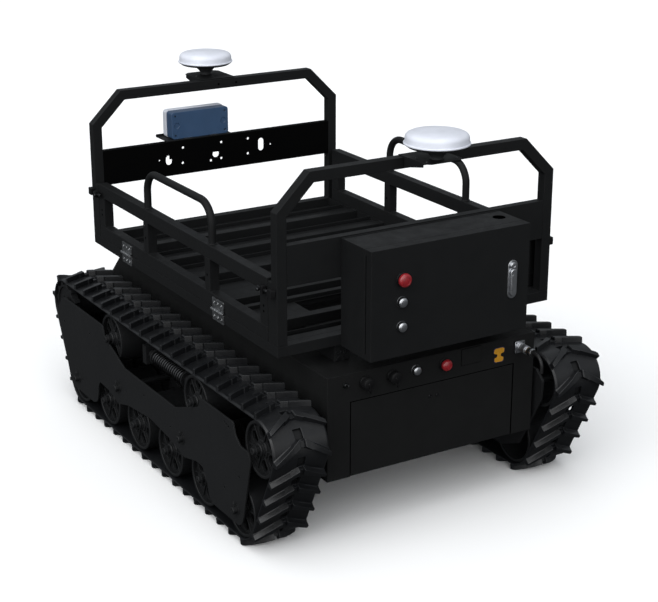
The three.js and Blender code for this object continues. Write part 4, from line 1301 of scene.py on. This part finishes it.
def add_hoop(node, end):
    """A bent hoop, the welds at its feet, and two bores in its top tube, drawn as near-black discs of
    painted shade.
    """
    make(node + "_tube", refined(node), "rack", "root", [node], 1.3, 3)
    bm = bmesh.new()
    y0, y1 = MIDDLE_Y + end * (RACK_Y - TUBE + 1), MIDDLE_Y + end * (RACK_Y - 1)
    foot = DECK_TOP + 0.5
    for side in (-1, 1):
        x = side * (RACK_X - TUBE - 0.2)
        add_weld(bm, (x, y0, foot), (x, y1, foot), 2.2)
    make(node + "_welds", bm, "rack", "root")
    # painted shade: thin near-black discs on both faces stand for the shade inside the bores
    bm = bmesh.new()
    for x in (-1.5, 62):
        for face in (MIDDLE_Y + RACK_Y * end, MIDDLE_Y + (RACK_Y - TUBE) * end):
            add_rod(bm, "y", x, HOOP_BORE_Z, 3.6, face - 0.07, face + 0.07, 20)
    make(node + "_bores", bm, "bore", "root")


def add_cross_plates():
    """Channel plates between the uprights; the back one carries its pattern of holes."""
    half = RACK_X - TUBE - 0.4
    low, high = 720, 830
    for node, web in (("front_cross_plate", MIDDLE_Y - 591.6), ("back_cross_plate", MIDDLE_Y + 562.4)):
        bm = bmesh.new()
        section = [(web, low), (web + 24, low), (web + 24, low + 3), (web + 3, low + 3),
                   (web + 3, high - 3), (web + 24, high - 3), (web + 24, high), (web, high)]
        add_prism(bm, "x", section, -half, half)
        bmesh.ops.recalc_face_normals(bm, faces=bm.faces)
        piece = to_object(node + "_sheet", bm)
        if node == "back_cross_plate":
            drill(piece, back_plate_holes(web - 5, web + 8))
        # painted shade: the back plate gets the darkened copy of the rack's paint
        settle(piece, "coarse_rack_shaded" if node == "back_cross_plate" else "rack", "root",
               [node], 0.7)


def back_plate_holes(start, end):
    """A keyhole, a flat-topped hole, a slot and the small round holes round them."""
    cutters = bmesh.new()
    keyhole = (arc_points(-185, 767, 10.5, 180, 360, 14) + [(-174.5, 774), (-183, 774), (-183, 787)]
               + arc_points(-185, 777, 10.5, 100, 180, 6))
    flat_topped = arc_points(-17, 772, 11.5, 145, 395, 18)
    for outline in (keyhole, flat_topped, slot_points(150, 783, 10, 11)):
        add_prism(cutters, "y", outline, start, end)
    for x, z in ((-134, 807), (-136, 757), (-35, 752), (4, 808), (3, 755), (102, 808), (101, 758)):
        add_prism(cutters, "y", circle_points(x, z, 4, 20), start, end)
    for x, z in ((-218, 775), (186, 779)):
        add_prism(cutters, "y", circle_points(x, z, 2.5, 16), start, end)
    return cutters


def add_hinges(side, name):
    """Galvanised gate hinges: a leaf on the gate and one on the rail, with three screws each."""
    for number, y in enumerate(HINGE_Y):
        y += MIDDLE_Y
        fixed, moving = bmesh.new(), bmesh.new()
        for bm, z0, z1, screw_z in ((fixed, HINGE_Z - 31, HINGE_Z - 4.6, HINGE_Z - 19),
                                    (moving, HINGE_Z + 5.2, HINGE_Z + 33.5, HINGE_Z + 21)):
            face = RACK_X + 4.1
            outline = round_rectangle(y - HINGE_HALF, y + HINGE_HALF, z0, z1, 2.5)
            add_prism(bm, "x", outline, side * (RACK_X + 0.6), side * face)
            for shift in (-21, 0, 21):
                add_lathe(bm, "x", y + shift, screw_z, [(0, -0.4), (4.4, -0.4), (4.4, 0.7), (3.6, 1.3),
                                                        (2.0, 1.3), (1.5, 0.4), (0, 0.3)], 22,
                          base=side * face, towards=side)
        knuckles = 5
        width = 2 * HINGE_HALF / knuckles
        for i in range(knuckles):
            start = y - HINGE_HALF + i * width
            bm = fixed if i % 2 == 0 else moving
            add_ring(bm, "y", side * HINGE_X, HINGE_Z, 2.2, 5.1, start + 0.3, start + width - 0.3, 28)
            lift = -1 if i % 2 == 0 else 1
            z0, z1 = sorted((HINGE_Z + lift * 1, HINGE_Z + lift * 6))
            x0, x1 = sorted((side * (RACK_X + 0.7), side * (HINGE_X - 2.2)))
            add_box(bm, x0, x1, start + 0.3, start + width - 0.3, z0, z1)
        add_lathe(fixed, "y", side * HINGE_X, HINGE_Z, [(0, -34.5), (3.0, -34.5), (3.4, -33.4),
                                                        (2.3, -32.4), (2.3, 32.4), (3.4, 33.4),
                                                        (3.0, 34.5), (0, 34.5)], 20, base=y)
        make(f"hinge_fixed_{name}_{number + 1}", fixed, "zinc", "root", (), 0.35)
        make(f"hinge_moving_{name}_{number + 1}", moving, "zinc", f"side_gate_{name}", (),
             0.35)


def add_gate(side, name):
    """A side gate of square tube with its handle, welds and small bores, the bores drawn as near-black
    discs of painted shade.
    """
    node = f"side_gate_{name}"
    outer, inner = RACK_X, RACK_X - TUBE
    x0, x1 = sorted((side * inner, side * outer))
    bottom = DECK_TOP + 0.4
    rail = 40
    bm = bmesh.new()
    y0, y1 = MIDDLE_Y - GATE_Y, MIDDLE_Y + GATE_Y
    add_box(bm, x0, x1, y0, y1, bottom, bottom + rail)
    add_box(bm, x0, x1, y0, y1, GATE_TOP - rail, GATE_TOP)
    add_box(bm, x0, x1, y0, y0 + rail, bottom + rail, GATE_TOP - rail)
    add_box(bm, x0, x1, y1 - rail, y1, bottom + rail, GATE_TOP - rail)
    for y in GATE_POSTS:
        post = MIDDLE_Y + y
        add_box(bm, x0, x1, post - TUBE / 2, post + TUBE / 2, bottom + rail, GATE_TOP - rail)
    make(f"gate_tubes_{name}", bm, "rack", node, [node], 1.8, 3)
    x = side * (RACK_X - TUBE / 2)
    bend, reach, top = 62, 207, 848
    route = [(x, MIDDLE_Y - reach, GATE_TOP - 2), (x, MIDDLE_Y - reach, GATE_TOP + 20)]
    for end in (-1, 1):
        for i in range(13):
            angle = math.radians(90 * (i if end < 0 else 12 - i) / 12)
            along = reach - bend + bend * math.cos(angle)
            route.append((x, MIDDLE_Y + end * along, top - bend + bend * math.sin(angle)))
    route += [(x, MIDDLE_Y + reach, GATE_TOP + 20), (x, MIDDLE_Y + reach, GATE_TOP - 2)]
    bm = bmesh.new()
    add_tube(bm, route, 11, 28)
    for y in (-reach, reach):
        ring = [(x + 11.6 * math.cos(a), MIDDLE_Y + y + 11.6 * math.sin(a), GATE_TOP + 0.8) for a in
                (2 * math.pi * i / 36 for i in range(36))]
        add_tube(bm, ring, 2.3, 8, True)
    make(f"gate_handle_{name}", bm, "rack", node, (), 0, 2, 40)
    bm = bmesh.new()
    for y in GATE_POSTS:
        for edge in (-TUBE / 2, TUBE / 2):
            for z in (bottom + rail, GATE_TOP - rail):
                add_weld(bm, (x0 + 2, MIDDLE_Y + y + edge, z), (x1 - 2, MIDDLE_Y + y + edge, z), 1.9)
    for y in (y0 + rail, y1 - rail):
        for z in (bottom + rail, GATE_TOP - rail):
            add_weld(bm, (x0 + 2, y, z), (x1 - 2, y, z), 1.9)
    make(f"gate_welds_{name}", bm, "rack", node)
    # painted shade: thin near-black discs on both faces stand for the shade inside the small bores
    bm = bmesh.new()
    for y, z in ((-200, 648), (200, 648), (-521, 640), (-521, 655), (521, 640), (521, 655)):
        face = side * (RACK_X + 0.06)
        add_rod(bm, "x", MIDDLE_Y + y, z, 3.4, face - side * 0.5, face, 20)
        face = side * (inner - 0.06)
        add_rod(bm, "x", MIDDLE_Y + y, z, 3.4, face + side * 0.5, face, 20)
    make(f"gate_bores_{name}", bm, "bore", node)


def add_latch(side, end, name, end_name):
    """A slide latch: its housing on the gate's end post, its keeper on the hoop."""
    node = f"gate_latch_{name}_{end_name}"
    gate = f"side_gate_{name}"
    y = MIDDLE_Y + end * GATE_Y
    face = RACK_X + 0.2
    z = LATCH_Z

    def block(bm, first, last, half, depth):
        a, b = sorted((y + end * first, y + end * last))
        add_prism(bm, "x", round_rectangle(a, b, z - half, z + half, 2), side * face, side * (face + depth))

    bm = bmesh.new()
    block(bm, -34, -1, 9, 2.0)
    block(bm, -12, -1, 11, 14.6)
    for dy in (-29, -19):
        add_dome_screw(bm, "x", y + end * dy, z - 5.5, side * (face + 1.8), side, 2.0)
    make(f"latch_housing_{name}_{end_name}", bm, "black", gate, (), 0.5)
    bm = bmesh.new()
    x = side * (RACK_X + 8.5)
    start, stop = y - end * 34, y + end * 16
    add_lathe(bm, "y", x, z, [(0, start), (4, start), (4.8, start + end), (4.8, stop - end * 1.5),
                              (3.5, stop), (0, stop)], 28)
    knob = [(0, 8), (3.6, 8), (3.4, 16), (5, 17.5), (5.4, 19.5), (5.2, 22), (3.6, 23.6), (0, 23.9)]
    add_lathe(bm, "x", y - end * 16, z, [(r, side * (RACK_X + out)) for r, out in knob], 32)
    make(f"latch_bolt_{name}_{end_name}", bm, "black_steel", node, [node], 0.2)
    keeper = bmesh.new()
    block(keeper, 4, 46, 8, 1.6)
    block(keeper, 23, 46, 11, 14.6)
    make(f"latch_keeper_{name}_{end_name}", keeper, "black", "root", (), 0.6)


def add_rack():
    add_cargo_frame()
    add_rail_slots()
    add_hoop("front_hoop", -1)
    add_hoop("back_hoop", 1)
    add_cross_plates()
    for side, name in SIDES:
        add_gate(side, name)
        add_hinges(side, name)
        for end, end_name in ((-1, "front"), (1, "back")):
            add_latch(side, end, name, end_name)


# ---- control cabinet -------------------------------------------------------------------

CABINET_X = 250
CABINET_BOTTOM = 530
CABINET_TOP = 827
CABINET_BACK = MIDDLE_Y - 592.4
CABINET_SPLIT = MIDDLE_Y - 706
CABLE_HOLE = (212, MIDDLE_Y - 650, 18)
CONTROL_X = -157
STOP_Z = 740
BUTTON_Z = (679, 612)
LEVER_X = 195
LEVER_Z = 680


def add_cabinet():
    """The cabinet with its door, seal, buttons, lever and the cable hole in its top."""
    make("cabinet_body", refined("cabinet_box"), "rack", "root", ["cabinet_box"], 1.2, 3)
    make("cabinet_door_pan", refined("cabinet_door"), "rack", "cabinet_door",
         ["cabinet_door"], 1.2, 3)
    # a rolled rim runs round the box just behind the door, and a rubber seal sits in it
    bm = bmesh.new()
    y = CABINET_SPLIT + 1.1
    inset = 4.5
    x, z0, z1 = CABINET_X - inset, CABINET_BOTTOM + inset, CABINET_TOP - inset
    for start, end in (((-x, y, z0), (x, y, z0)), ((x, y, z0), (x, y, z1)), ((x, y, z1), (-x, y, z1)),
                       ((-x, y, z1), (-x, y, z0))):
        add_tube(bm, [start, end], 1.4, 10)
    make("cabinet_seal", bm, "black", "root")
    bm = bmesh.new()
    # the drip lip across the top, near the back edge
    add_box(bm, -CABINET_X + 0.5, CABINET_X - 0.5, CABINET_BACK - 9, CABINET_BACK - 7.6,
            CABINET_TOP - 0.4, CABINET_TOP + 1.6)
    make("cabinet_lip", bm, "rack", "root", (), 0.5)
    # the slot down the left side where the door's hinge sits, drawn as a near-black strip of painted shade
    bm = bmesh.new()
    slot_y = CABINET_SPLIT - 7
    outline = round_rectangle(slot_y - 1.3, slot_y + 1.3, CABINET_BOTTOM + 16, CABINET_TOP - 16, 1)
    add_prism(bm, "x", outline, -CABINET_X - 0.08, -CABINET_X + 0.5)
    make("cabinet_hinge_slot_shade", bm, "bore", "cabinet_door")
    # painted shade: a near-black cup inside the cable hole stands for the shade in it
    bm = bmesh.new()
    u, v, radius = CABLE_HOLE
    edge = CABINET_TOP - 0.6
    add_lathe(bm, "z", u, v, [(0, 8), (radius - 0.2, 8), (radius - 0.2, 0), (radius - 0.8, 0),
                              (radius - 0.8, 7), (0, 7)], 48, base=edge, towards=-1)
    make("cable_hole_shade_cup", bm, "bore", "root", (), 0, 2, 40)
    add_stop_button("cabinet_stop_button", CONTROL_X, STOP_Z + 1, CABINET_FRONT, 18.6)
    add_collar("cabinet_stop_collar", CONTROL_X, STOP_Z, CABINET_FRONT, 18, "black", "cabinet_door")
    for number, z in enumerate(BUTTON_Z):
        add_push_button(f"cabinet_push_button_{number + 1}", CONTROL_X, z, CABINET_FRONT, 13)
        add_collar(f"cabinet_button_collar_{number + 1}", CONTROL_X, z, CABINET_FRONT, 15.5, "steel",
                   "cabinet_door", 2.2)
    # the lever in its chrome dish
    bm = bmesh.new()
    face = CABINET_FRONT
    add_prism(bm, "y", slot_points(LEVER_X, LEVER_Z, 15.3, 38, 16), face + 0.3, face - 3.1)
    make("lever_dish", bm, "chrome", "cabinet_door", (), 1.2, 3)
    bm = bmesh.new()
    add_lathe(bm, "y", LEVER_X, LEVER_Z + 38, [(0, 3), (9.5, 3), (9.5, 7), (8.4, 8), (4.2, 8.2),
                                               (3.6, 6.6), (0, 6.6)], 36, base=face, towards=-1)
    add_lathe(bm, "y", LEVER_X, LEVER_Z - 44, [(0, 3), (4.4, 3), (4.4, 3.9), (3.8, 4.3), (0, 4.3)], 28,
              base=face, towards=-1)
    make("lever_lock", bm, "chrome", "cabinet_door", (), 0.2)
    bm = bmesh.new()
    add_prism(bm, "y", slot_points(LEVER_X, LEVER_Z - 8, 9.8, 27.8, 14), face - 3.6, face - 9.8)
    make("lever_handle", bm, "chrome", "cabinet_lever", ["cabinet_lever"], 1.8, 3)
    bm = bmesh.new()
    add_prism(bm, "y", slot_points(LEVER_X, LEVER_Z - 8, 5.4, 18, 12), face - 9.6, face - 10.1)
    make("lever_inset", bm, "chrome", "cabinet_lever", (), 0.25)


# ---- antennas and radio ----------------------------------------------------------------

ANTENNA_SEAT = 1014.4    # underside of the antennas' bracket plates
RADIO_TRAY = 830.4       # top of the back cross plate, where the radio's tray lies


def add_antenna(node, end):
    """A satellite antenna on its bracket plate."""
    seat = ANTENNA_SEAT
    plate = seat + 3
    y = MIDDLE_Y + end * 655
    radius = 87.5
    bm = bmesh.new()
    add_lathe(bm, "z", 0, y, [(0, 39.4), (86.8, 39.4), (radius, 40.2), (radius, 42.6), (86.9, 43.4),
                              (84.8, 43.8), (84.2, 46), (83.9, 56), (82.2, 61.5), (78.4, 65.8),
                              (72, 68.8), (60, 71.0), (36, 72.4), (0, 72.9)], 96, base=plate)
    make(node + "_radome", bm, "radome", "root", [node], 0, 2, 50)
    bm = bmesh.new()
    add_lathe(bm, "z", 0, y, [(0, -0.5), (19, -0.5), (19, 2.2), (17.4, 3.2), (17.4, 6), (20.5, 10),
                              (26, 16.5), (33, 21.8), (44, 25.6), (58, 28.6), (70, 30.4), (76.4, 31.6),
                              (84.6, 37.4), (86, 39.6), (0, 39.6)], 96, base=plate)
    make(node + "_neck", bm, "neck", "root", (), 0, 2, 40)
    bm = bmesh.new()
    inner, outer = MIDDLE_Y + end * 566, MIDDLE_Y + end * 697
    outline = [(-60, inner), (60, inner), (60, outer - end * 15), (45, outer), (-45, outer),
               (-60, outer - end * 15)]
    add_prism(bm, "z", outline, seat, plate)
    face = MIDDLE_Y + end * 592.4
    a, b = sorted((face, face + end * 3))
    add_box(bm, -60, 60, a, b, seat - 27, seat + 0.5)
    for x in (-58.5, 58.5):
        gusset = [(face, seat + 0.5), (face, seat - 27), (outer - end * 18, seat - 9),
                  (outer - end * 18, seat + 0.5)]
        add_prism(bm, "x", gusset, x - 1.5, x + 1.5)
    make(node + "_bracket", bm, "rack", "root", (), 0.7)
    bm = bmesh.new()
    for x in (-40, 40):
        add_hex_bolt(bm, "y", x, seat - 14, face + end * 3, end, 5, 3.4)
    for x, dy in ((-46, 22), (46, 22), (-46, -26), (46, -26)):
        add_dome_screw(bm, "z", x, y + end * dy, plate, 1, 3.6)
    make(node + "_screws", bm, "steel", "root", (), 0.2)


def add_radio():
    """The radio: a blue housing facing the cargo bay with a white lid behind it."""
    tray = RADIO_TRAY
    near = MIDDLE_Y + 566
    bm = bmesh.new()
    add_box(bm, -188, 45, near, near + 84, tray, tray + 3)
    a = near + 84
    add_box(bm, -188, 45, a - 3, a, tray + 2.5, tray + 9)
    make("radio_tray", bm, "rack", "root", (), 0.7)
    front, back = near + 9, near + 72
    split = near + 47
    bm = bmesh.new()
    x0, x1, z0, z1 = -165, 37, tray + 3, tray + 90
    add_prism(bm, "y", round_rectangle(x0, x1, z0, z1, 9, 8), front, split)
    piece = to_object("radio_housing", bm)
    cutters = bmesh.new()
    corners = [(x, z) for x in (x0 + 12, x1 - 12) for z in (z0 + 12, z1 - 12)]
    for x, z in corners:
        add_prism(cutters, "y", circle_points(x, z, 3, 20), front - 4, front + 8)
    for x in (x0 + 18, x1 - 18):
        add_rod(cutters, "y", x, (z0 + z1) / 2, 9, front - 3, front + 0.8, 32)
    drill(piece, cutters)
    settle(piece, "blue", "root", ["radio_box"], 1.6, 3)
    bm = bmesh.new()
    add_prism(bm, "y", round_rectangle(x0 + 1.5, x1 - 1.5, z0 + 1.5, z1 - 1.5, 9, 8), split - 0.5,
              split + 2)
    make("radio_gasket", bm, "black", "root")
    bm = bmesh.new()
    add_prism(bm, "y", round_rectangle(x0 - 2, x1 + 2, z0 - 0.5, z1 + 1.5, 11, 8), split + 1.5, back)
    make("radio_lid", bm, "lid", "root", (), 2.6, 4)
    bm = bmesh.new()
    for x, z in corners:
        add_dome_screw(bm, "y", x, z, back, 1, 3.6)
        add_rod(bm, "y", x, z, 2.4, front + 7, front + 4, 20)
    for x in (-110, -18):
        add_box(bm, x - 15, x + 15, front - 8, front + 3, tray + 2.8, tray + 5.2)
    make("radio_screws", bm, "steel", "root", (), 0.2)


def add_electronics():
    add_antenna("front_antenna", -1)
    add_antenna("back_antenna", 1)
    add_radio()


# ---- scene -----------------------------------------------------------------------------

add_camera()
LOOKS = make_materials()
add_cable()
add_studio()
add_tracks()
add_hull()
add_rack()
add_cabinet()
add_electronics()
